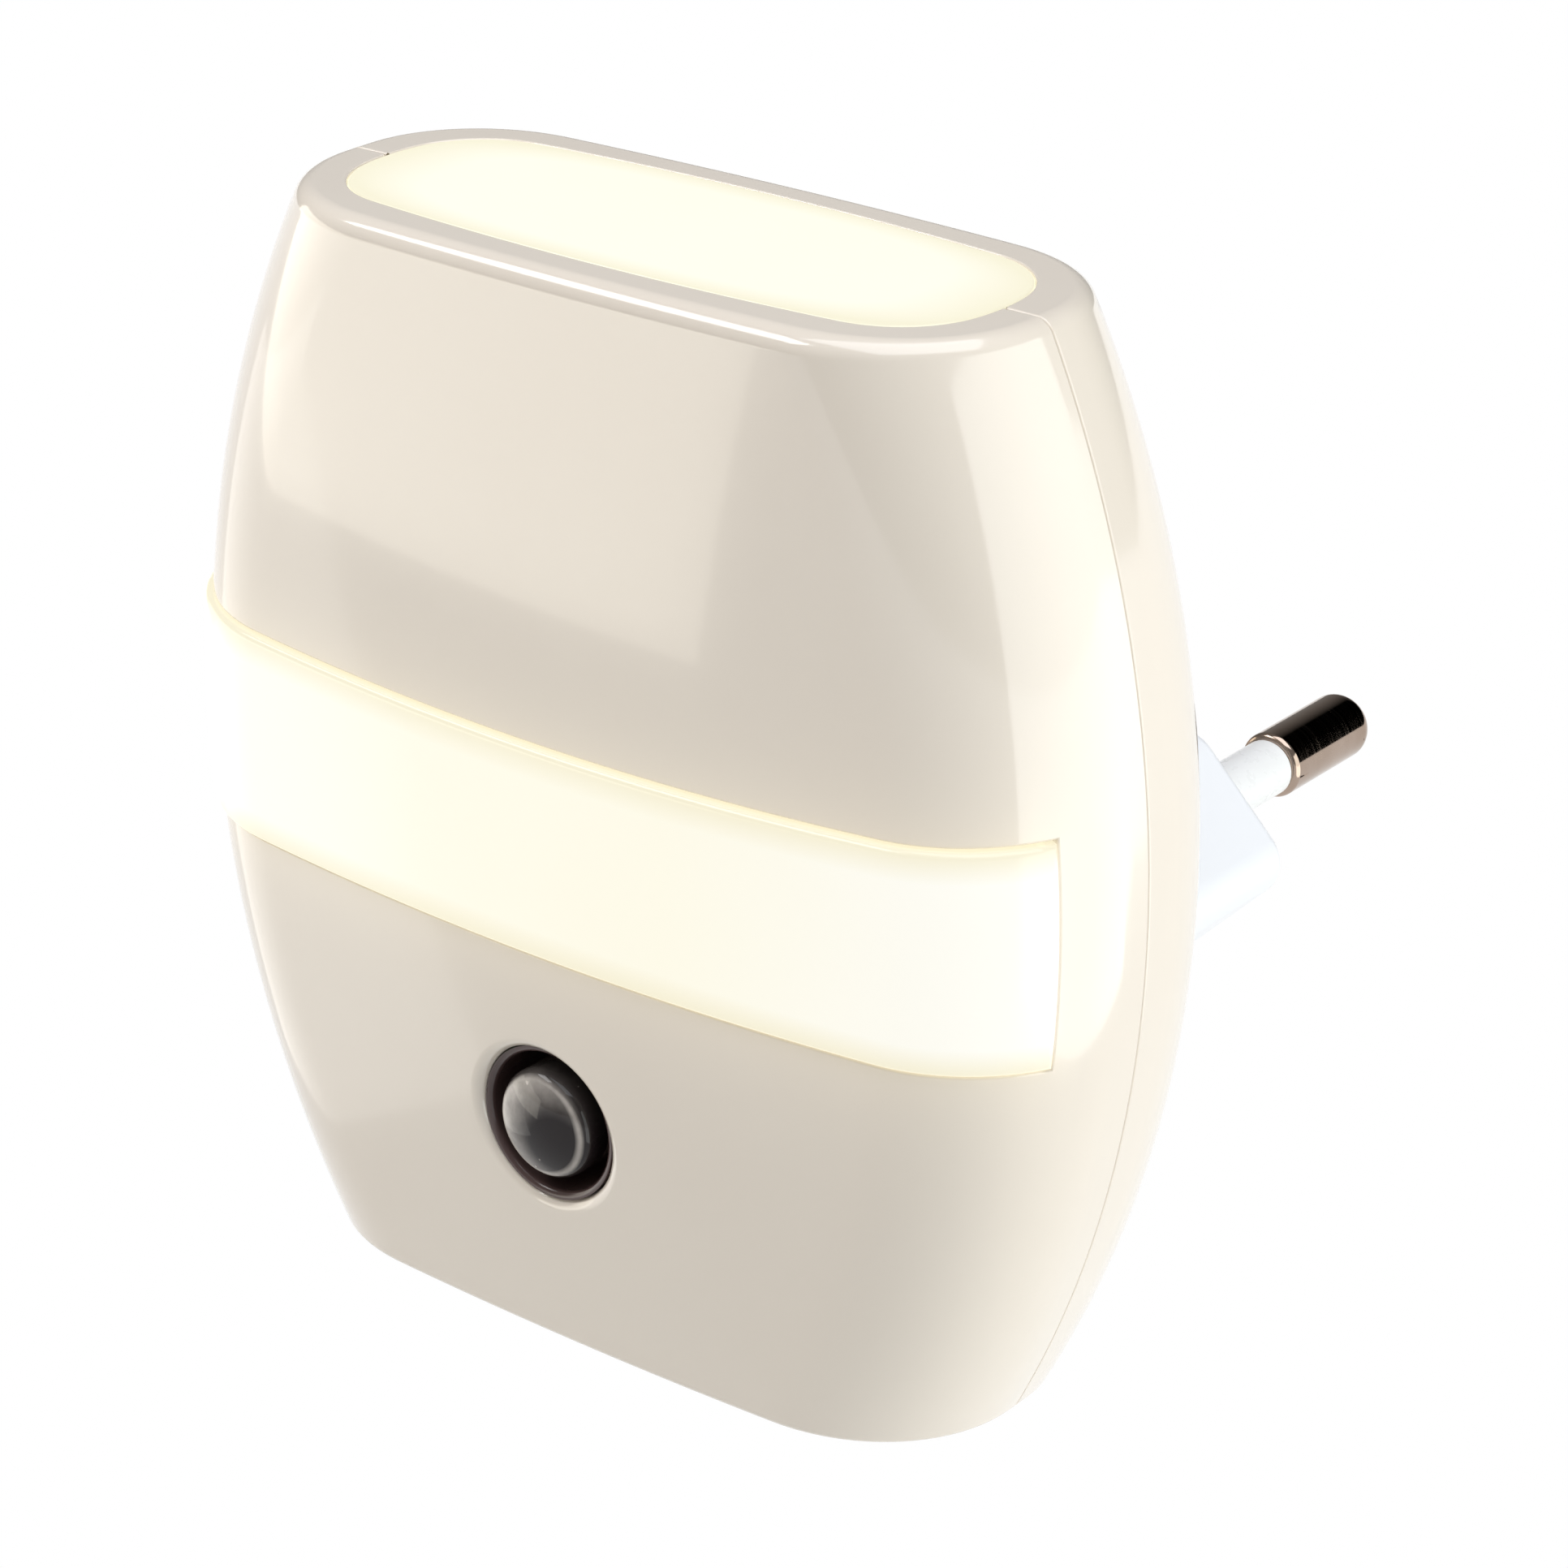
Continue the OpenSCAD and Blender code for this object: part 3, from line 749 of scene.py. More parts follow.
def plug_outline(grow: float, arc_steps: int = 6, side_steps: int = 8) -> tuple:
    """Draws the plug's six-sided outline with rounded tips and shoulders.

    Args:
        grow: How far it is drawn outside the plug's own edge.
        arc_steps: Steps in each rounded corner's half.
        side_steps: Steps in each flat side.

    Returns:
        Points and outward normals, as x and height above the plug's centre.
    """
    half_h, apex = 6.6 + grow, 18.2 + grow * math.sqrt(2)
    tip_r, shoulder_r = 2.2 + grow, 2.5 + grow
    tip = np.array([apex - tip_r * math.sqrt(2), 0.0])
    shoulder = np.array([apex - half_h - shoulder_r * math.tan(math.pi / 8), half_h - shoulder_r])
    rows = []
    for centre, r, start, stop in ((tip, tip_r, 0, 45), (shoulder, shoulder_r, 45, 90)):
        for a in np.radians(np.linspace(start, stop, arc_steps)):
            n = np.array([math.cos(a), math.sin(a)])
            rows.append(np.concatenate([centre + r * n, n]))
        if centre is tip:
            here = rows[-1]
            n = here[2:]
            there = shoulder + shoulder_r * n
            for t in np.linspace(0, 1, side_steps + 2)[1:-1]:
                rows.append(np.concatenate([lerp(here[:2], there, t), n]))
    flat = rows[-1][0]
    for t in np.linspace(0, 1, side_steps + 1)[1:]:
        rows.append(np.array([flat * (1 - t), half_h, 0, 1]))
    quarter = np.array(rows)
    flip = np.array([-1, 1, -1, 1.0])
    half = np.vstack([quarter, (quarter * flip)[-2::-1]])
    whole = np.vstack([half, -half[1:-1]])
    return whole[:, :2], whole[:, 2:]


# ---------- meshes ----------


class Skin:
    """A mesh in the making, with the true normal of every point."""

    def __init__(self) -> None:
        """Starts with nothing."""
        self.points: list = []
        self.normals: list = []
        self.faces: list = []

    def add(self, point: Array, normal: Array) -> int:
        """Adds a point.

        Args:
            point: Its place.
            normal: Its normal, of any length.

        Returns:
            The point's number.
        """
        self.points.append(np.asarray(point, float))
        self.normals.append(unit(np.asarray(normal, float)))
        return len(self.points) - 1

    def row(self, points: Iterable, normals: Iterable) -> list:
        """Adds a row of points and returns their numbers."""
        return [self.add(p, n) for p, n in zip(points, normals)]

    def face(self, *corners: int) -> None:
        """Adds a face, leaving out corners that repeat.

        Args:
            *corners: The numbers of its points.
        """
        ring = []
        for c in corners:
            if c not in ring:
                ring.append(c)
        if len(ring) < 3:
            return
        p = [self.points[c] for c in ring]
        facing = sum(np.cross(p[k] - p[0], p[k + 1] - p[0]) for k in range(1, len(p) - 1))
        if float(facing @ sum(self.normals[c] for c in ring)) < 0:
            ring.reverse()
        self.faces.append(ring)

    def bridge(self, a: Sequence[int], b: Sequence[int], closed: bool = True) -> None:
        """Joins two rows of the same length with quads.

        Args:
            a: First row.
            b: Second row.
            closed: Whether the rows are rings.
        """
        count = len(a)
        for k in range(count if closed else count - 1):
            m = (k + 1) % count
            self.face(a[k], a[m], b[m], b[k])

    def grid(self, table: Sequence[Sequence[int]], skip: Callable = lambda i, j: False) -> None:
        """Joins the rows of a table of points.

        Args:
            table: Rows of point numbers.
            skip: Says which cells stay open.
        """
        for i in range(len(table) - 1):
            for j in range(len(table[i]) - 1):
                if not skip(i, j):
                    a, b = table[i], table[i + 1]
                    self.face(a[j], a[j + 1], b[j + 1], b[j])

    def roll(
        self,
        edge: Sequence[int],
        aside: Array,
        radius: float,
        inward: Callable,
        closed: bool = True,
        steps: int = 4,
    ) -> list:
        """Rolls an open edge over and runs it inwards.

        Args:
            edge: The edge's points.
            aside: For each, the direction along the surface and off its edge.
            radius: Radius of the rolled edge.
            inward: Gives the inner end of the wall for a point and its normal.
            closed: Whether the edge is a ring.
            steps: Steps in the roll.

        Returns:
            The wall's inner row.
        """
        base_p = [self.points[k] for k in edge]
        base_n = [self.normals[k] for k in edge]
        last = list(edge)
        for step in range(1, steps + 1):
            a = math.pi / 2 * step / steps
            points = [
                p + radius * (math.sin(a) * t + (math.cos(a) - 1) * n)
                for p, n, t in zip(base_p, base_n, aside)
            ]
            normals = [math.cos(a) * n + math.sin(a) * t for n, t in zip(base_n, aside)]
            new = self.row(points, normals)
            self.bridge(last, new, closed)
            last = new
        ends = [inward(self.points[k], n) for k, n in zip(last, base_n)]
        new = self.row(ends, aside)
        self.bridge(last, new, closed)
        return new

    def aside(self, ring: Sequence[int], sign: float) -> Array:
        """Finds, for each point of a ring, the way along the surface across the ring.

        Args:
            ring: The ring's points, in order.
            sign: 1 for the left of the way round, seen from outside, or -1.

        Returns:
            One vector for each point, longer at corners so that strips meet.
        """
        p = np.array([self.points[k] for k in ring])
        n = np.array([self.normals[k] for k in ring])
        run = unit(np.roll(p, -1, 0) - p)
        after = unit(np.cross(n, run))
        before = np.roll(after, 1, 0)
        meet = 1 + np.sum(after * before, axis=1, keepdims=True)
        return sign * (after + before) / np.maximum(meet, 0.5)

    def lathe(
        self, origin: Array, axis: Array, profile: Sequence[tuple], count: int = 96
    ) -> None:
        """Turns a section about an axis.

        Args:
            origin: A point on the axis.
            axis: Its direction.
            profile: Rows of radius, place along the axis, and the normal's
                share outwards and along the axis.
            count: Steps round the axis.
        """
        side = unit(np.cross(axis, [0.13, 0.31, 0.94]))
        other = np.cross(axis, side)
        last = None
        for radius, along, n_out, n_along in profile:
            ring = []
            for k in range(count if radius > 1e-6 else 1):
                a = 2 * math.pi * k / count
                d = math.cos(a) * side + math.sin(a) * other
                place = origin + axis * along + d * radius
                ring.append(self.add(place, d * n_out + axis * n_along))
            if len(ring) == 1:
                ring = ring * count
            if last is not None:
                self.bridge(last, ring)
            last = ring

    def make(self, name: str, material: bpy.types.Material) -> bpy.types.Object:
        """Makes the mesh object, in metres and in the part's frame.

        Args:
            name: The piece's name.
            material: Its finish.

        Returns:
            The object, riding on the part's one body.
        """
        mesh = bpy.data.meshes.new(name)
        points = (np.array(self.points) + CASE_MIDDLE) * MM
        mesh.from_pydata([tuple(p) for p in points], [], self.faces)
        mesh.polygons.foreach_set("use_smooth", [True] * len(mesh.polygons))
        mesh.normals_split_custom_set_from_vertices([tuple(n) for n in self.normals])
        mesh.materials.append(material)
        piece = bpy.data.objects.new(name, mesh)
        bpy.context.scene.collection.objects.link(piece)
        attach(piece, "root")
        log.info("%s: %d faces", name, len(mesh.polygons))
        return piece


def arc_section(centre: tuple, radius: float, start: float, stop: float, steps: int) -> list:
    """Draws an arc of a turned section.

    Args:
        centre: Radius and place along the axis.
        radius: The arc's radius.
        start: First angle in degrees; 0 points away from the axis, 90 along it.
        stop: Last angle.
        steps: How many steps.

    Returns:
        Rows for Skin.lathe.
    """
    rows = []
    for a in np.radians(np.linspace(start, stop, steps + 1)):
        c, s = math.cos(a), math.sin(a)
        rows.append((centre[0] + radius * c, centre[1] + radius * s, c, s))
    return rows


def turned(*corners: tuple) -> list:
    """Draws the straight stretches of a turned section, with sharp corners.

    Args:
        *corners: Radius and place along the axis of each corner, with the
            solid on the left of the way round.

    Returns:
        Rows for Skin.lathe.
    """
    rows = []
    for a, b in zip(corners, corners[1:]):
        out, along = unit(np.array([b[1] - a[1], a[0] - b[0]], float))
        rows += [(*a, out, along), (*b, out, along)]
    return rows


def both_sides(right: list) -> list:
    """Adds the mirror image of a half's columns, from its far end to the middle."""
    flip = np.array([-1.0, 1.0, 1.0])
    return [[(p * flip, n * flip) for p, n in column] for column in right[:0:-1]] + right


def nearest(values: Sequence[float], want: float) -> int:
    """Returns the number of the value that lies nearest to the one wanted."""
    return int(np.argmin(np.abs(np.array(values) - want)))


# ---------- sub-assemblies ----------


@dataclass
class RoundHole:
    """A round opening in a half's face."""

    x: float
    z: float
    radius: float
    roll: float
    floor: float
    half_block: tuple
    filled: bool = False

    def target(self, angle: float) -> tuple:
        """Returns the place of the opening's edge at an angle, before its rolled rim."""
        r = self.radius + self.roll
        return self.x + r * math.cos(angle), self.z + r * math.sin(angle)


@dataclass
class PlugHole:
    """The opening that the plug stands out of."""

    x: float = 0.0
    z: float = -12.1
    roll: float = 0.3
    floor: float = 6.0
    slack: float = 0.08
    half_block: tuple = (20.2, 9.4)
    filled: bool = False

    def target(self, angle: float) -> tuple:
        """Finds the opening's edge at an angle, before its rolled rim.

        Args:
            angle: The angle about the opening's middle.

        Returns:
            The edge's x and z.
        """
        points, _ = plug_outline(self.slack + self.roll)
        angles = np.arctan2(points[:, 1], points[:, 0])
        order = np.argsort(angles)
        radii = np.linalg.norm(points, axis=1)
        r = float(np.interp(angle, angles[order], radii[order], period=2 * math.pi))
        return self.x + r * math.cos(angle), self.z + r * math.sin(angle)


@dataclass
class CaseHalf:
    """One half of the case, with its rolled openings and a fine seam groove."""

    form: HalfForm
    name: str
    nodes: tuple
    holes: tuple = ()
    has_band: bool = False
    wall: float = 1.5
    columns: int = 50
    rows: tuple = (34, 16, 34)
    slot_roll: float = 0.16
    slot_gap: float = 0.12
    round_steps: int = 7
    hole_rings: int = 7
    top_roll: float = 0.12
    top_gap: float = 0.1
    seam_gap: float = 0.02

    def heights(self, share: float, low: float, high: float) -> list:
        """Spreads a column's points over its height.

        Args:
            share: The column's place between the middle and the seam.
            low: Where the bottom's rounding starts.
            high: Where the top's rounding starts.

        Returns:
            The heights, rising.
        """
        band = LitBand()
        grow = self.slot_gap + self.slot_roll
        marks = [low, *band.edge_heights(self.form, share, grow), high]
        out = [low]
        for a, b, count in zip(marks, marks[1:], self.rows):
            out += list(np.linspace(a, b, count + 1)[1:])
        return out

    def rounding(self, share: float, end: float) -> list:
        """Rounds the top or bottom edge with a rolling ball.

        Args:
            share: The column's place between the middle and the seam.
            end: 1 for the top and -1 for the bottom.

        Returns:
            Rows of x, distance from the seam, the normal, and height.
        """
        r = self.form.top_round if end > 0 else self.form.bottom_round
        level = (self.form.top if end > 0 else self.form.bottom) - end * r
        row = self.form.at(share, level, r)
        n = unit(row[2:])
        up = np.array([0.0, 0.0, end])
        spread = math.acos(float(np.clip(n @ up, -1, 1)))
        out = []
        for t in np.linspace(0, 1, self.round_steps + 1):
            d = (math.sin((1 - t) * spread) * n + math.sin(t * spread) * up) / math.sin(spread)
            depth = row[1] + r * d[1] if share < 1 else SEAM_LINE
            out.append((row[0] + r * d[0], depth, d, level + r * d[2]))
        return out

    def column(self, share: float, side: float) -> list:
        """Draws one column of the skin, bottom to top.

        Args:
            share: Its place between the middle and the seam.
            side: 1 on the right and -1 on the left.

        Returns:
            Points and normals.
        """
        form = self.form
        turn = np.array([side, form.towards, 1.0])
        foot, head = self.rounding(share, -1), self.rounding(share, 1)
        ends = [
            [(np.array([x, depth, z]) * turn, n * turn) for x, depth, n, z in end]
            for end in (foot[::-1], head)
        ]
        heights = self.heights(share, foot[0][3], head[0][3])[1:-1]
        return ends[0] + [form.place(form.at(share, z), z, side) for z in heights] + ends[1]

    def build(self, material: bpy.types.Material) -> None:
        """Builds the half.

        Args:
            material: Its finish.
        """
        skin = Skin()
        shares = np.arange(self.columns + 1) / self.columns
        columns = both_sides([self.column(s, 1.0) for s in shares])
        table = [
            [skin.add(*columns[j][i]) for j in range(len(columns))]
            for i in range(len(columns[0]))
        ]
        open_cells = set()
        if self.has_band:
            self.cut_slot(skin, table, open_cells)
        for hole in self.holes:
            self.cut_hole(skin, table, open_cells, hole)
        skin.grid(table, lambda i, j: (i, j) in open_cells)
        top_rows = self.close_top(skin, table)
        bottom_rows = self.close_bottom(skin, table)
        self.turn_seam(skin, table, top_rows, bottom_rows)
        piece = skin.make(self.name, material)
        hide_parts(*self.nodes)

    def inwards(self, point: Array, normal: Array) -> Array:
        """Returns the inner end of the wall below a point."""
        return point - normal * self.wall

    def cut_slot(self, skin: Skin, table: list, open_cells: set) -> None:
        """Opens the band's slot and rolls its edge in.

        Args:
            skin: The half's mesh.
            table: The skin's point numbers, by row and column.
            open_cells: Takes the cells left open.
        """
        first = self.round_steps + self.rows[0]
        last = first + self.rows[1]
        span = round(self.columns * self.form.end_share)
        left, right = self.columns - span, self.columns + span
        open_cells.update((i, j) for i in range(first, last) for j in range(left, right))
        ring = self.border(table, first, last, left, right)
        aside = skin.aside(ring, -self.form.towards)
        skin.roll(ring, aside, self.slot_roll, self.inwards)

    @staticmethod
    def border(table: list, first: int, last: int, left: int, right: int) -> list:
        """Lists the points round a block of cells.

        Args:
            table: The skin's point numbers.
            first: The block's lowest row.
            last: Its highest row.
            left: Its first column.
            right: Its last column.

        Returns:
            The ring of points.
        """
        ring = [table[first][j] for j in range(left, right)]
        ring += [table[i][right] for i in range(first, last)]
        ring += [table[last][j] for j in range(right, left, -1)]
        ring += [table[i][left] for i in range(last, first, -1)]
        return ring

    def cut_hole(self, skin: Skin, table: list, open_cells: set, hole: object) -> None:
        """Opens a hole in the face and rolls its rim in.

        Args:
            skin: The half's mesh.
            table: The skin's point numbers.
            open_cells: Takes the cells left open.
            hole: The hole.
        """
        half_w, half_h = hole.half_block
        points = np.array([[skin.points[k] for k in row] for row in table])
        across = points[nearest(points[:, self.columns, 2], hole.z), :, 0]
        left, right = nearest(across, hole.x - half_w), nearest(across, hole.x + half_w)
        up = points[:, (left + right) // 2, 2]
        low, high = nearest(up, hole.z - half_h), nearest(up, hole.z + half_h)
        open_cells.update((i, j) for i in range(low, high) for j in range(left, right))
        last = self.border(table, low, high, left, right)
        start = [skin.points[k][[0, 2]] for k in last]
        ends = [np.array(hole.target(math.atan2(z - hole.z, x - hole.x))) for x, z in start]
        for step in range(1, self.hole_rings + 1):
            t = 1 - (1 - step / self.hole_rings) ** 1.3
            places = [lerp(a, b, t) for a, b in zip(start, ends)]
            new = [skin.add(*self.form.over(x, z)) for x, z in places]
            skin.bridge(last, new)
            last = new
        aside = skin.aside(last, -self.form.towards)
        floor = self.form.towards * hole.floor
        inner = skin.roll(
            last, aside, hole.roll, lambda p, n: np.array([p[0], floor, p[2]]), steps=6
        )
        if hole.filled:
            facing = np.array([0.0, self.form.towards, 0.0])
            rim = skin.row([skin.points[k] for k in inner], [facing] * len(inner))
            hub = skin.add(np.array([hole.x, floor, hole.z]), facing)
            skin.bridge(rim, [hub] * len(rim))

    def close_top(self, skin: Skin, table: list) -> list:
        """Covers the flat top up to the window's opening and rolls its edge in.

        Args:
            skin: The half's mesh.
            table: The skin's point numbers.

        Returns:
            The top's rows of points.
        """
        quarter = window_oval(self.top_gap + self.top_roll, 400)
        keep = quarter[quarter[:, 1] >= SEAM_LINE]
        length = run_length(keep[:, :2])
        outer = table[-1]
        rows = [outer]
        inner_p, inner_t = [], []
        for j in range(len(outer)):
            share = abs(j - self.columns) / self.columns
            side = 1.0 if j >= self.columns else -1.0
            x, depth, nx, nd = (np.interp(share * length[-1], length, k) for k in keep.T)
            inner_p.append(np.array([side * x, self.form.towards * depth, self.form.top]))
            inner_t.append(np.array([-side * nx, -self.form.towards * nd, 0.0]))
        steps = 5
        for step in range(1, steps + 1):
            points = [lerp(skin.points[k], p, step / steps) for k, p in zip(outer, inner_p)]
            rows.append(skin.row(points, [UP] * len(points)))
        skin.grid(rows)
        skin.roll(rows[-1], np.array(inner_t), self.top_roll, self.inwards, closed=False)
        return rows

    def close_bottom(self, skin: Skin, table: list) -> list:
        """Covers the flat bottom up to the seam.

        Args:
            skin: The half's mesh.
            table: The skin's point numbers.

        Returns:
            The bottom's rows of points.
        """
        outer = table[0]
        rows = [outer]
        steps = 6
        for step in range(1, steps + 1):
            row = []
            for j, k in enumerate(outer):
                if j in (0, len(outer) - 1):
                    row.append(k)
                    continue
                p = skin.points[k]
                end = np.array([p[0], self.form.towards * SEAM_LINE, p[2]])
                row.append(skin.add(lerp(p, end, step / steps), -UP))
            rows.append(row)
        skin.grid(rows)
        return rows

    def turn_seam(self, skin: Skin, table: list, top_rows: list, bottom_rows: list) -> None:
        """Rolls the half's edge in along the seam.

        Args:
            skin: The half's mesh.
            table: The skin's point numbers.
            top_rows: The top's rows.
            bottom_rows: The bottom's rows.
        """
        edge = [row[0] for row in reversed(top_rows[1:])]
        edge += [row[0] for row in reversed(table)]
        edge += bottom_rows[-1][1:-1]
        edge += [row[-1] for row in table]
        edge += [row[-1] for row in top_rows[1:]]
        back = np.array([0.0, -self.form.towards, 0.0])
        aside = np.array([back] * len(edge))
        skin.roll(edge, aside, SEAM_LINE - self.seam_gap, self.inwards, closed=False)


@dataclass
class LitBand:
    """The lit band that wraps round the front half."""

    bottom: float = -6.5
    top: float = 5.2
    low_rise: float = 0.75
    high_rise: float = 1.15
    end: float = 6.1
    proud: float = 0.4
    edge_roll: float = 0.35
    depth: float = 2.1
    flange: float = 0.8
    columns: int = 44
    rows: int = 16

    def edge_sockets(self, n: Nodes) -> list:
        """Adds the heights of the band's edges above and below a point.

        Args:
            n: The material's nodes.

        Returns:
            The upper edge's height and the lower edge's.
        """
        across = n.math("POWER", n.math("DIVIDE", n.math("ABSOLUTE", n.axes()[0]), HALF_WIDTH), 2.0)
        edges = ((self.top, self.high_rise), (self.bottom, self.low_rise))
        return [n.math("ADD", n.math("MULTIPLY", across, rise), base) for base, rise in edges]

    def edge_share(self, n: Nodes) -> bpy.types.NodeSocket:
        """Adds how near a point is to the band's upper or lower edge.

        Args:
            n: The material's nodes.

        Returns:
            1 at the edge, down to 0 away from it.
        """
        high, low = self.edge_sockets(n)
        z = n.axes()[2]
        near = n.math("MINIMUM", n.math("SUBTRACT", high, z), n.math("SUBTRACT", z, low))
        return n.span(near, 0.0, 1.6, (1.0, 0.0))

    def edge_heights(self, form: HalfForm, share: float, out: float) -> list:
        """Finds the heights of the band's edges at a column of the case's form.

        Args:
            form: The form.
            share: The column's place between the middle and the seam.
            out: How far outside the band's own edges.

        Returns:
            The lower edge's height and the upper edge's.
        """
        heights = []
        for base, rise in ((self.bottom - out, self.low_rise), (self.top + out, self.high_rise)):
            z = base
            for _ in range(3):
                z = base + rise * (form.at(share, z)[0] / HALF_WIDTH) ** 2
            heights.append(z)
        return heights

    def build(self, form: HalfForm, material: bpy.types.Material) -> None:
        """Builds the band.

        Args:
            form: The front half's form.
            material: The band's finish.
        """
        skin = Skin()
        shares = np.arange(self.columns + 1) / self.columns * form.end_share
        short = self.edge_roll
        columns = []
        for share in shares:
            heights = np.linspace(*self.edge_heights(form, share, -short), self.rows + 1)
            end = self.end + short
            columns.append(
                [form.place(form.at(share, z, -self.proud, end), z, 1.0) for z in heights]
            )
        every = both_sides(columns)
        table = [[skin.add(*column[i]) for column in every] for i in range(self.rows + 1)]
        skin.grid(table)
        ring = CaseHalf.border(table, 0, self.rows, 0, len(every) - 1)
        aside = skin.aside(ring, -1)
        inner = skin.roll(ring, aside, short, lambda p, n: p - n * self.depth, steps=6)
        spread = [skin.points[k] + t * self.flange for k, t in zip(inner, aside)]
        facing = [skin.normals[k] for k in ring]
        low = skin.row([skin.points[k] for k in inner], facing)
        skin.bridge(low, skin.row(spread, facing))
        piece = skin.make("band_lens", material)
        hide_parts("front_band")


@dataclass
class TopWindow:
    """The lit oval window in the flat top."""

    top: float = 29.7
    edge_roll: float = 0.16
    edge_grow: float = 0.06
    depth: float = 1.8
    flange: float = 0.9
    squareness: float = 3.2

    def edge_share(self, n: Nodes) -> bpy.types.NodeSocket:
        """Adds how near a point is to the window's edge.

        Args:
            n: The material's nodes.

        Returns:
            0 in the middle, up to 1 at the edge.
        """
        far = [
            n.math("POWER", n.math("ABSOLUTE", n.math("DIVIDE", place, half)), self.squareness)
            for place, half in zip(n.axes(), WINDOW_HALF)
        ]
        return n.span(n.math("ADD", *far), 0.45, 1.0)

    def build(self, material: bpy.types.Material) -> None:
        """Builds the window.

        Args:
            material: Its finish.
        """
        skin = Skin()
        quarter = window_oval(self.edge_grow - self.edge_roll, 80)
        table = []
        for k, flip in enumerate(((1, 1), (1, -1), (-1, -1), (-1, 1))):
            part = quarter * np.array(flip + flip, float)
            table += list((part[::-1] if k % 2 else part)[:-1])
        outer = [np.array([p[0], p[1], self.top]) for p in table]
        aside = [np.array([p[2], p[3], 0.0]) for p in table]
        last = skin.row(outer, [UP] * len(outer))
        ring = last
        for share in (0.92, 0.75, 0.5, 0.25):
            points = [p * (share, share, 1.0) for p in outer]
            new = skin.row(points, [UP] * len(points))
            skin.bridge(last, new)
            last = new
        hub = skin.add(np.array([0, 0, self.top]), UP)
        skin.bridge(last, [hub] * len(last))
        inner = skin.roll(
            ring, np.array(aside), self.edge_roll, lambda p, n: p - n * self.depth, steps=5
        )
        low = skin.row([skin.points[k] for k in inner], [UP] * len(inner))
        spread = [skin.points[k] + t * self.flange for k, t in zip(inner, aside)]
        skin.bridge(low, skin.row(spread, [UP] * len(inner)))
        piece = skin.make("window_lens", material)
        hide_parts("top_window")


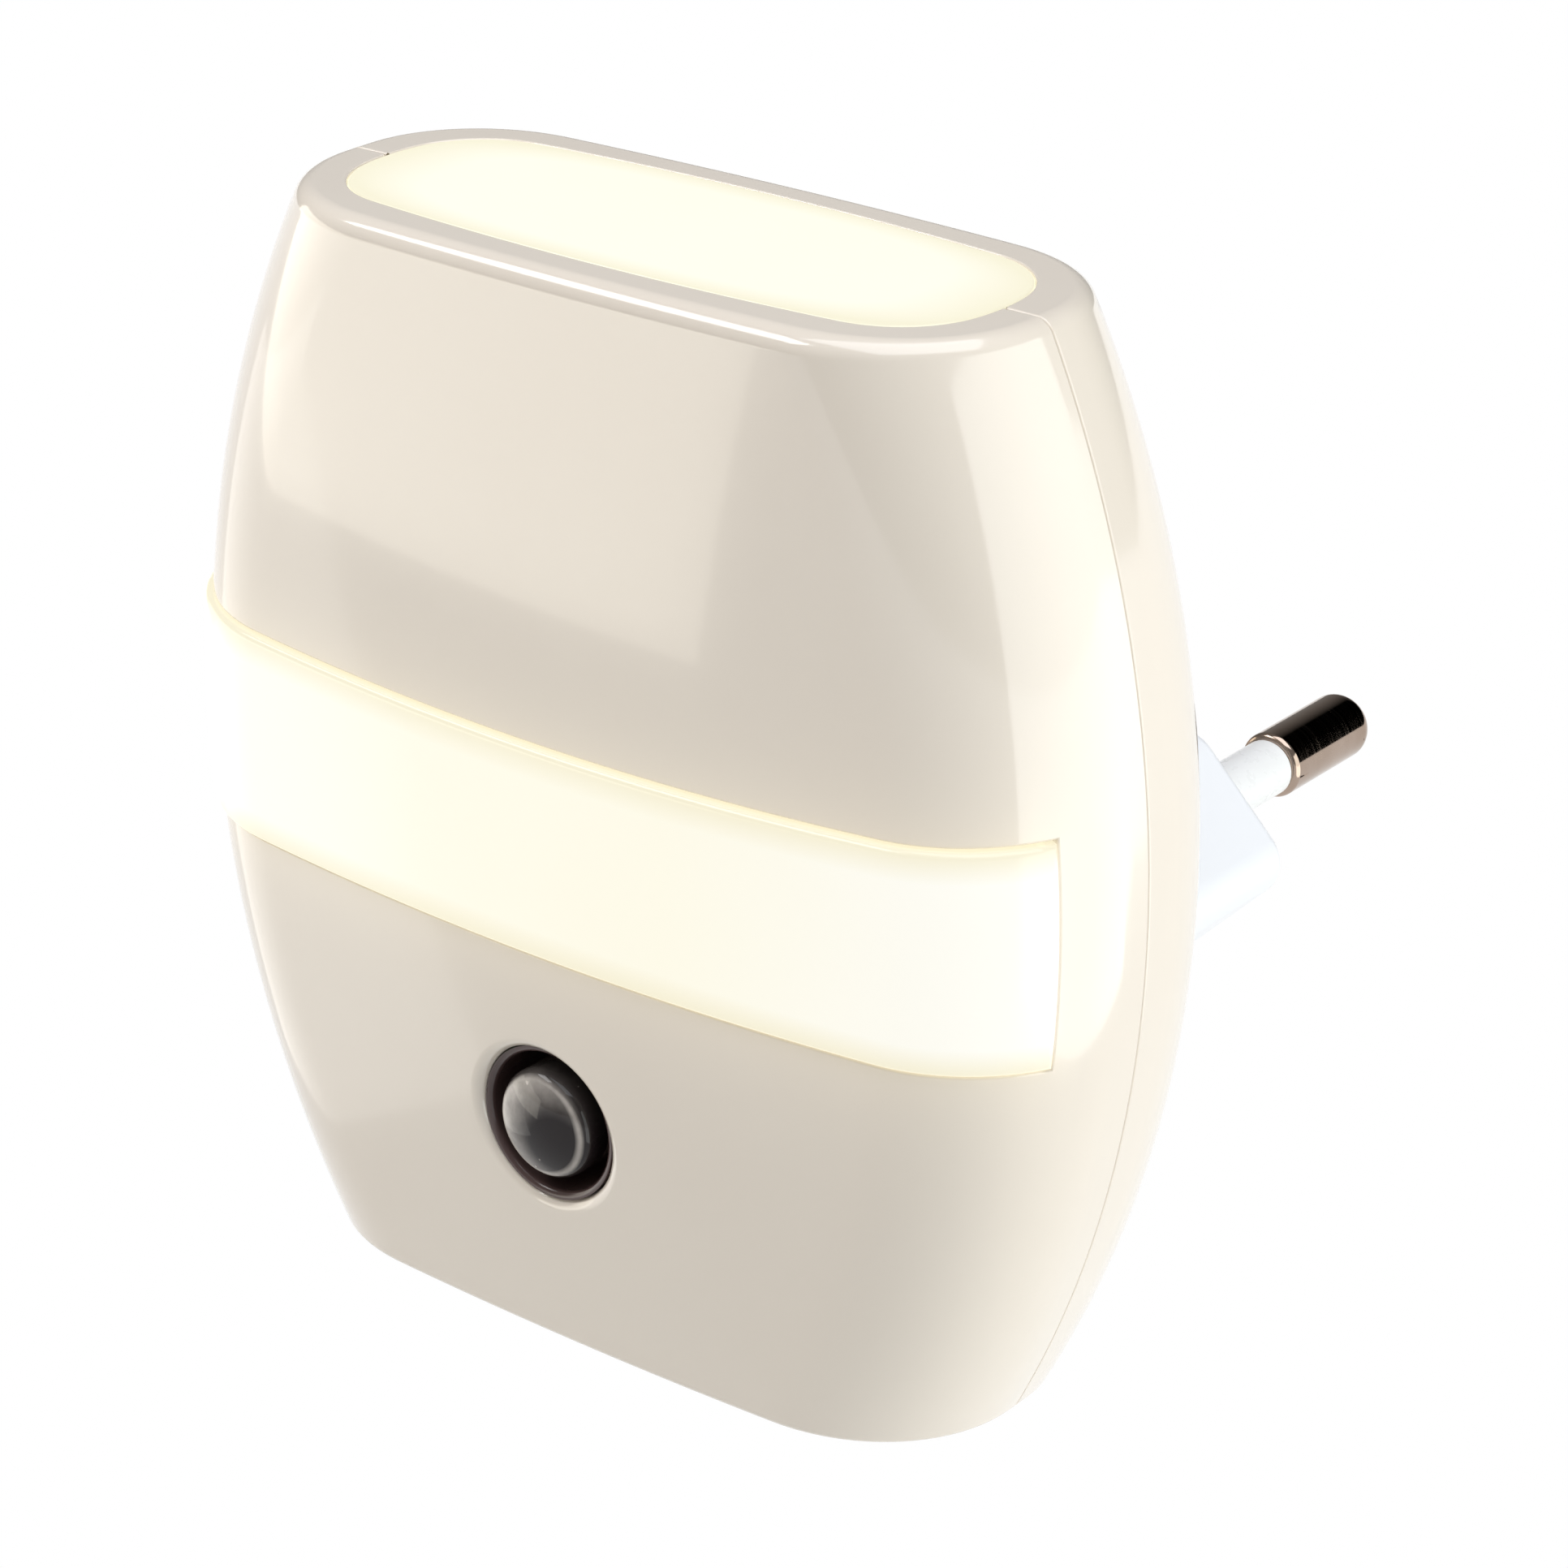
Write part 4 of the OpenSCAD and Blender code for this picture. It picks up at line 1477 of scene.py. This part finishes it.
@dataclass
class DuskSensor:
    """The dark tube, the cap and the sensor behind the round hole.

    Places along the axis are distances ahead of the seam. The foot of the eye
    is its radius and two ends. A leg is its distance from the axis, its radius
    and two ends.
    """

    side: float = -0.9
    drop: float = 16.8
    face: float = 10.768
    tube_r: float = 4.35
    tube_wall: float = 0.4
    tube_drop: float = 0.45
    tube_end: float = -1.0
    ledge: float = 4.0
    ledge_r: float = 2.6
    cap_r: float = 3.1
    cap_bore: float = 2.5
    cap_drop: float = 0.15
    dome: float = 0.9
    cap_edge: float = 0.9
    clear_part: float = 1.5
    slack: float = 0.02
    eye_r: float = 2.45
    eye_foot: tuple = (2.85, 1.6, 2.4)
    eye_drop: float = 2.4
    eye_edge: float = 0.8
    eye_rise: float = 0.14
    leg: tuple = (1.27, 0.3, -3.4, 1.7)

    def turn(self, skin: Skin, rows: list) -> None:
        """Turns a section about the sensor's axis."""
        skin.lathe(np.array([self.side, 0.0, -self.drop]), FORWARDS, rows)

    def build_tube(self, material: bpy.types.Material) -> None:
        """Builds the tube that the hole looks into.

        Args:
            material: Its finish.
        """
        inner = self.tube_r - self.tube_wall
        lip = self.tube_wall * 0.9
        mouth = self.face - self.tube_drop
        rows = turned((self.tube_r, self.tube_end), (self.tube_r, mouth), (inner + lip, mouth))
        rows += arc_section((inner + lip, mouth - lip), lip, 90, 180, 8)
        ledge, ledge_r = self.ledge, self.ledge_r
        rows += turned(
            (inner, mouth - lip - 0.1), (inner, ledge), (ledge_r, ledge), (ledge_r, ledge - 1.0)
        )
        skin = Skin()
        self.turn(skin, rows)
        piece = skin.make("sensor_tube", material)
        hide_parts("sensor_shroud")

    def build_cap(self, clear: bpy.types.Material, painted_shade_wall: bpy.types.Material) -> None:
        """Builds the cap's dome and its wall inside the tube.

        Args:
            clear: Finish of the dome, with painted refracted light and a painted dark hollow in its
                colour.
            painted_shade_wall: Finish of the wall, an opaque dark brown that paints the shade on
                the clear wall inside the tube.
        """
        rim = self.face - self.cap_drop
        dome_r = (self.cap_r**2 + self.dome**2) / (2 * self.dome)
        middle = rim + self.dome - dome_r
        edge_r = self.cap_r - self.cap_edge
        edge_z = middle + math.sqrt((dome_r - self.cap_edge) ** 2 - edge_r**2)
        lift = math.degrees(math.atan2(edge_z - middle, edge_r))
        foot = rim - self.clear_part
        rows = turned((0.0, foot), (self.cap_r, foot), (self.cap_r, edge_z - self.slack))
        rows += arc_section((edge_r, edge_z), self.cap_edge, 0, lift, 12)
        rows += arc_section((0.0, middle), dome_r, lift, 90, 18)[1:]
        skin = Skin()
        self.turn(skin, rows)
        piece = skin.make("sensor_cap", clear)
        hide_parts("sensor_lens")

        low, high = self.ledge, foot - self.slack
        flange_r = self.tube_r - self.tube_wall - 0.05
        wall_r = self.cap_r - self.slack
        corners = [(self.cap_bore, high), (self.cap_bore, low), (flange_r, low)]
        corners += [(flange_r, low + 1), (wall_r, low + 1), (wall_r, high), (self.cap_bore, high)]
        skin = Skin()
        self.turn(skin, turned(*corners))
        # The wall's opaque dark brown is painted shade for the clear wall inside the tube.
        piece = skin.make("sensor_cap_wall", painted_shade_wall)
        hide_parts("sensor_lens")

    def build_eye(self, material: bpy.types.Material) -> None:
        """Builds the sensor itself with its two legs.

        Args:
            material: Its finish.
        """
        foot_r, foot_low, foot_high = self.eye_foot
        edge = self.eye_edge
        edge_r, edge_z = self.eye_r - edge, self.face - self.eye_drop - edge
        rows = turned(
            (foot_r, foot_low), (foot_r, foot_high), (self.eye_r, foot_high), (self.eye_r, edge_z)
        )
        rows += arc_section((edge_r, edge_z), edge, 0, 78, 8)
        flat_r, flat_z = rows[-1][:2]
        for t in np.linspace(0.15, 1, 7):
            rise = self.eye_rise * math.sin(t * math.pi / 2)
            rows.append((flat_r * (1 - t), flat_z + rise, 0.2 * (1 - t), 1.0))
        skin = Skin()
        self.turn(skin, rows)
        apart, leg_r, low, high = self.leg
        for side in (-apart, apart):
            place = np.array([self.side + side, 0.0, -self.drop])
            skin.lathe(place, FORWARDS, turned((leg_r, low), (leg_r, high)), 16)
        piece = skin.make("sensor_eye", material)
        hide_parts("light_sensor")


@dataclass
class MainsPlug:
    """The six-sided plug with its two sleeved pins."""

    drop: float = 12.1
    inner: float = 6.2
    flange_end: float = 7.8
    face: float = 31.9
    edge_roll: float = 0.7
    flange: float = 2.0
    pin_x: float = 9.3
    pin_r: float = 2.0
    pin_length: float = 19.3
    pin_start: float = 3.6
    core_r: float = 1.25
    bare: float = 8.7
    bare_edge: float = 0.4
    tip_edge: float = 1.3
    sleeve_r: float = 1.7
    sleeve_bore: tuple = (1.3, 1.27)
    sleeve_sunk: float = 4.0
    sleeve_edge: float = 0.2
    hole_slack: float = 0.22

    def ring(self, skin: Skin, grow: float, depth: float, lean: float) -> list:
        """Adds one ring of the body.

        Args:
            skin: The mesh.
            grow: How far the ring lies outside the plug's own outline.
            depth: Its distance from the seam.
            lean: Share of the normal that points out of the face.

        Returns:
            The ring's points.
        """
        points, normals = plug_outline(grow)
        keep = math.sqrt(1 - lean * lean)
        p = [np.array([q[0], depth, q[1] - self.drop]) for q in points]
        n = [np.array([q[0] * keep, lean, q[1] * keep]) for q in normals]
        return skin.row(p, n)

    def build_body(self, material: bpy.types.Material) -> None:
        """Builds the plug's body.

        Args:
            material: Its finish.
        """
        skin = Skin()
        r, flange, level = self.edge_roll, self.flange, 0.9999
        places = [(flange, self.inner, 0.0), (flange, self.flange_end, 0.0)]
        places += [(flange, self.flange_end, level), (0.0, self.flange_end, level)]
        places += [(0.0, y, 0.0) for y in np.linspace(self.flange_end, self.face - r, 8)]
        for a in np.radians(np.linspace(0, 90, 8))[1:]:
            sunk, out = r * (1 - math.cos(a)), math.sin(a)
            places.append((-sunk, self.face - r + r * out, min(out, level)))
        rings = [self.ring(skin, *place) for place in places]
        for a, b in zip(rings, rings[1:]):
            skin.bridge(a, b)
        self.close_face(skin, rings[-1])
        piece = skin.make("plug_moulding", material)
        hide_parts("plug_body")

    def close_face(self, skin: Skin, outer: Sequence[int]) -> None:
        """Covers the plug's face round the two sleeves' holes.

        Args:
            skin: The mesh.
            outer: The face's edge.
        """
        hole_r = self.sleeve_r + self.hole_slack
        half = len(outer) // 2
        quarter = half // 2
        for side in (1.0, -1.0):
            centre = np.array([side * self.pin_x, self.face, -self.drop])
            if side > 0:
                ring = outer[-quarter:] + outer[: quarter + 1]
            else:
                ring = outer[quarter : half + quarter + 1]
            a, b = skin.points[ring[-1]], skin.points[ring[0]]
            between = [skin.add(lerp(a, b, t), TO_WALL) for t in np.linspace(0, 1, 14)[1:-1]]
            start = [skin.points[k] for k in list(ring) + between]
            ends = []
            for p in start:
                a = math.atan2(p[2] - centre[2], p[0] - centre[0])
                ends.append(centre + hole_r * np.array([math.cos(a), 0.0, math.sin(a)]))
            last = skin.row(start, [TO_WALL] * len(start))
            for step in (0.45, 1.0):
                points = [lerp(p, end, step) for p, end in zip(start, ends)]
                new = skin.row(points, [TO_WALL] * len(points))
                skin.bridge(last, new)
                last = new
            aside = skin.aside(last, 1)
            skin.roll(last, aside, 0.15, lambda p, n: p - TO_WALL * 3.0, steps=3)

    def build_pins(self, metal: bpy.types.Material, cover: bpy.types.Material) -> None:
        """Builds both pins and their sleeves.

        Args:
            metal: Finish of the pins.
            cover: Finish of the sleeves.
        """
        tip = self.face + self.pin_length
        bare = tip - self.bare
        edge, tip_edge, r = self.bare_edge, self.tip_edge, self.pin_r
        core_r, start = self.core_r, self.pin_start
        pin_rows = [(core_r, start, 0.0, -1.0)]
        pin_rows += turned((core_r, start), (core_r, bare), (r - edge, bare))
        pin_rows += arc_section((r - edge, bare + edge), edge, -90, 0, 6)
        pin_rows += [(r, y, 1.0, 0.0) for y in np.linspace(bare + edge, tip - tip_edge, 8)]
        pin_rows += arc_section((r - tip_edge, tip - tip_edge), tip_edge, 0, 90, 14)
        pin_rows += [(0.0, tip, 0.0, 1.0)]
        low, r, edge = self.face - self.sleeve_sunk, self.sleeve_r, self.sleeve_edge
        sleeve_rows = turned((self.sleeve_bore[0], low), (r, low), (r, bare - edge))
        sleeve_rows += arc_section((r - edge, bare - edge), edge, 0, 90, 5)
        sleeve_rows += [(self.sleeve_bore[1], bare, 0.0, 1.0)]
        for side, word in ((-1.0, "left"), (1.0, "right")):
            origin = np.array([side * self.pin_x, 0.0, -self.drop])
            skin = Skin()
            skin.lathe(origin, TO_WALL, pin_rows)
            piece = skin.make(f"turned_pin_{word}", metal)
            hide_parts(f"pin_{word}")
            skin = Skin()
            skin.lathe(origin, TO_WALL, sleeve_rows)
            piece = skin.make(f"pin_sleeve_{word}", cover)
            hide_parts(f"sleeve_{word}")


class Inside(Enum):
    """The nodes inside that keep their own shape, by the name of their finish."""

    WIRE_INSULATION = ("lead_left", "lead_right")
    BOARD_LAMINATE = ("circuit_board",)
    LAMP_YELLOW = ("band_led_left", "band_led_middle", "band_led_right")
    LAMP_CLEAR = ("top_led_left", "top_led_right")
    FILM_COATING = ("dropper_capacitor",)
    CAN_SLEEVE = ("smoothing_capacitor",)
    CHIP_PLASTIC = ("bridge_rectifier", "switch_transistor")
    FUSE_COATING = ("fuse_resistor",)
    RESISTOR_COATING = ("bleed_resistor", "bias_resistor")
    SCREW_STEEL = ("board_screws", "case_screws")


@dataclass
class Works:
    """The board, its components, the wires and the screws.

    The colours of a finish are its own and the one that it clouds into.
    """

    plastics: dict = field(default_factory=lambda: {
        Inside.WIRE_INSULATION: (rgba(0.50, 0.03, 0.02), rgba(0.42, 0.025, 0.02), 0.42),
        Inside.LAMP_YELLOW: (rgba(0.92, 0.80, 0.30), rgba(0.88, 0.74, 0.26), 0.35),
        Inside.CAN_SLEEVE: (rgba(0.02, 0.03, 0.10), rgba(0.015, 0.022, 0.08), 0.28),
        Inside.CHIP_PLASTIC: (rgba(0.02, 0.02, 0.02), rgba(0.03, 0.03, 0.03), 0.5),
    })
    coatings: dict = field(default_factory=lambda: {
        Inside.FILM_COATING: (rgba(0.60, 0.28, 0.03), rgba(0.50, 0.22, 0.02)),
        Inside.FUSE_COATING: (rgba(0.10, 0.26, 0.15), rgba(0.08, 0.21, 0.12)),
        Inside.RESISTOR_COATING: (rgba(0.58, 0.38, 0.19), rgba(0.50, 0.32, 0.15)),
    })
    steel: tuple = (rgba(0.52, 0.53, 0.54), rgba(0.42, 0.43, 0.45), 0.3)
    lamp: tuple = (rgba(0.96, 0.96, 0.93), 0.08)

    def finish_for(self, kind: Inside) -> bpy.types.Material:
        """Makes the material of one kind of piece.

        Args:
            kind: Which pieces.

        Returns:
            The material.
        """
        name = kind.name.lower()
        if kind in self.plastics:
            return MouldedPlastic(name, *self.plastics[kind]).make()
        if kind in self.coatings:
            return PaintedCeramic(name, *self.coatings[kind]).make()
        if kind is Inside.LAMP_CLEAR:
            return ClearPlastic(name, *self.lamp).make()
        if kind is Inside.SCREW_STEEL:
            return BrightMetal(name, *self.steel).make()
        return CircuitLaminate(name).make()

    def dress(self) -> None:
        """Gives every node that keeps its shape its finish."""
        for kind in Inside:
            material = self.finish_for(kind)
            for node in kind.value:
                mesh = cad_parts[node].data
                for k in range(len(mesh.materials)):
                    mesh.materials[k] = material
                log.info("%s: %s", node, material.name)


# ---------- studio ----------


@dataclass(frozen=True)
class Softbox:
    """A flat soft lamp that points at the case.

    Its bearing runs from the front to the viewer's right, its height is an
    angle too, and its lean turns it about its own axis, all in degrees.
    """

    name: str
    bearing: float
    height: float
    distance: float
    width: float
    tall: float
    radiance: float
    colour: tuple = (1.0, 1.0, 1.0)
    lean: float = 0.0

    def build(self) -> None:
        """Builds the lamp."""
        a, e = math.radians(self.bearing), math.radians(self.height)
        back = Vector((math.sin(a) * math.cos(e), -math.cos(a) * math.cos(e), math.sin(e)))
        face = (-back).to_track_quat("-Z", "Y")
        lamp = bpy.data.lights.new(self.name, "AREA")
        lamp.shape = "RECTANGLE"
        lamp.size, lamp.size_y = self.width, self.tall
        lamp.energy = self.radiance * math.pi * lamp.size * lamp.size_y
        lamp.color = self.colour
        holder = bpy.data.objects.new(self.name, lamp)
        holder.location = Vector(tuple(CASE_MIDDLE * MM)) + back * self.distance
        holder.rotation_mode = "QUATERNION"
        turn = Quaternion((0.0, 0.0, 1.0), math.radians(self.lean))
        holder.rotation_quaternion = face @ turn
        bpy.context.scene.collection.objects.link(holder)


@dataclass
class Studio:
    """Camera, floor, world and lamps."""

    azimuth: float = math.radians(38.309)
    elevation: float = math.radians(24.544)
    roll: float = math.radians(0.129)
    shift_mm: tuple = (-5.193, 0.650, 244.267)
    focal_px: float = 5754.12
    picture_px: float = 1932.0
    sensor_mm: float = 36.0
    floor_drop: float = 0.32
    floor_half: float = 6.0
    floor_grey: tuple = rgba(0.82, 0.82, 0.82)
    surround: float = 0.255
    surround_colour: tuple = rgba(1.0, 0.99, 0.97)
    white: tuple = rgba(1.0, 1.0, 1.0)

    def add_camera(self) -> None:
        """Adds the camera at the photograph's place and angle."""
        sin_a, cos_a = math.sin(self.azimuth), math.cos(self.azimuth)
        sin_e, cos_e = math.sin(self.elevation), math.cos(self.elevation)
        back = Vector((sin_a * cos_e, -cos_a * cos_e, sin_e))
        right = Vector((cos_a, sin_a, 0.0))
        up = back.cross(right)
        c, s = math.cos(self.roll), math.sin(self.roll)
        right, up = c * right + s * up, c * up - s * right
        tx, ty, tz = self.shift_mm
        place = Vector(tuple(CASE_MIDDLE)) - tx * right - ty * up + tz * back
        data = bpy.data.cameras.new("photo_camera")
        data.sensor_width = self.sensor_mm
        data.lens = self.focal_px / self.picture_px * data.sensor_width
        data.clip_start, data.clip_end = 0.01, 20.0
        camera = bpy.data.objects.new("photo_camera", data)
        turn = Matrix((right, up, back)).transposed().to_4x4()
        camera.matrix_world = Matrix.Translation(place * MM) @ turn
        bpy.context.scene.collection.objects.link(camera)
        bpy.context.scene.camera = camera

    def add_floor(self) -> None:
        """Adds the plain pale floor."""
        half = self.floor_half
        mesh = bpy.data.meshes.new("floor")
        corners = [(-half, -half), (half, -half), (half, half), (-half, half)]
        mesh.from_pydata([(*c, -self.floor_drop) for c in corners], [], [(0, 1, 2, 3)])
        n = Nodes("floor_paper")
        n.tree.nodes.remove(n.place.node)
        path = n.add("ShaderNodeLightPath")
        seen = n.math("MAXIMUM", path.outputs["Is Camera Ray"], path.outputs["Is Glossy Ray"])
        seen = n.math("MAXIMUM", seen, path.outputs["Is Transmission Ray"])
        paper = n.add("ShaderNodeBsdfDiffuse", Color=self.floor_grey)
        bright = n.add("ShaderNodeEmission", Color=self.white)
        n.blend(seen, paper, bright)
        mesh.materials.append(n.owner)
        floor = bpy.data.objects.new("floor", mesh)
        bpy.context.scene.collection.objects.link(floor)

    def add_world(self) -> None:
        """Adds a white background over a soft grey surround that is dark behind the case."""
        n = Nodes("studio", world=True)
        split = n.add("ShaderNodeSeparateXYZ")
        n.feed(split.inputs[0], n.place)
        behind = n.span(split.outputs["Y"], 0.35, 0.65)
        aside = n.span(split.outputs["X"], -0.62, -0.12)
        level = n.span(n.math("MULTIPLY", behind, aside), 0.0, 1.0, (self.surround, 0.0))
        path = n.add("ShaderNodeLightPath")
        grey = n.add("ShaderNodeBackground", Color=self.surround_colour, Strength=level)
        white = n.add("ShaderNodeBackground", Color=self.white, Strength=1.0)
        n.blend(path.outputs["Is Camera Ray"], grey, white)
        bpy.context.scene.world = n.owner

    def add_lamps(self) -> None:
        """Adds the soft lamps."""
        for box in (
            Softbox("left_card", -63.5, -0.5, 0.40, 0.54, 0.15, 2.1, (1.0, 0.95, 0.82), -15.0),
            Softbox("left_fill", -72.0, -22.0, 0.50, 0.40, 0.26, 0.75, (1.0, 0.98, 0.92)),
            Softbox("high_left", -54.0, 48.0, 0.60, 0.36, 0.14, 6.0),
            Softbox("right_side", 100.0, -3.0, 0.50, 0.78, 0.62, 1.9, (0.96, 1.0, 0.975)),
            Softbox("overhead", 60.0, 80.0, 0.60, 0.60, 0.60, 2.25, (0.95, 0.98, 1.03)),
        ):
            box.build()

    def build(self) -> None:
        """Adds everything round the object."""
        self.add_camera()
        self.add_floor()
        self.add_world()
        self.add_lamps()
        bpy.context.scene.view_settings.view_transform = "Standard"


def main() -> None:
    """Builds every sub-assembly in order."""
    logging.basicConfig(level=logging.INFO, format="%(name)s %(message)s")
    Studio().build()
    case = CasePlastic().make()
    front = HalfForm(towards=-1.0, depth=11.3, corner=9.0)
    rear = HalfForm(towards=1.0, depth=11.1, corner=8.2)
    sensor_hole = RoundHole(
        x=-0.9, z=-16.8, radius=4.4, roll=0.7, floor=8.2, half_block=(7.0, 7.0)
    )
    wells = [
        RoundHole(x=x, z=12.0, radius=3.1, roll=0.3, floor=5.6, half_block=(4.9, 4.9), filled=True)
        for x in (-19.8, 19.8)
    ]
    CaseHalf(front, "front_shell", ("front_cover",), (sensor_hole,), has_band=True).build(case)
    CaseHalf(rear, "rear_shell", ("rear_cover",), (PlugHole(), *wells)).build(case)
    band, window = LitBand(), TopWindow()
    core, rim = rgba(1.0, 0.97, 0.82), rgba(1.0, 0.93, 0.68)
    # The band's ends are whitened with painted lamp light.
    band.build(front, LitPlastic("lit_band", core, rim, band.edge_share, painted_end_light=0.8).make())
    core, rim = rgba(1.0, 0.98, 0.84), rgba(1.0, 0.95, 0.70)
    window.build(LitPlastic("lit_window", core, rim, window.edge_share).make())
    sensor = DuskSensor()
    brown, cap_wall_painted_shade, black, white, sleeve = (
        MouldedPlastic(name, rgba(*colour), rgba(*shade), gloss, waviness).make()
        for name, colour, shade, gloss, waviness in (
            ("shroud_plastic", (0.075, 0.045, 0.042), (0.13, 0.085, 0.08), 0.2, 0.2),
            # Dark brown of the cap's wall: painted shade for its clear plastic inside the tube.
            ("cap_wall", (0.10, 0.075, 0.06), (0.20, 0.16, 0.13), 0.15, 0.5),
            ("sensor_plastic", (0.010, 0.009, 0.012), (0.016, 0.015, 0.02), 0.12, 0.06),
            ("plug_plastic", (0.88, 0.89, 0.93), (0.87, 0.88, 0.92), 0.30, 0.02),
            ("sleeve_plastic", (0.88, 0.88, 0.88), (0.86, 0.86, 0.865), 0.28, 0.02),
        )
    )
    sensor.build_tube(brown)
    sensor.build_cap(DomePaintedLight().make(), cap_wall_painted_shade)
    sensor.build_eye(black)
    plug = MainsPlug()
    plug.build_body(white)
    pin_metal = BrightMetal("pin_metal", rgba(0.44, 0.35, 0.29), rgba(0.36, 0.27, 0.21), 0.10)
    plug.build_pins(pin_metal.make(), sleeve)
    Works().dress()


if __name__ == "__main__":
    main()
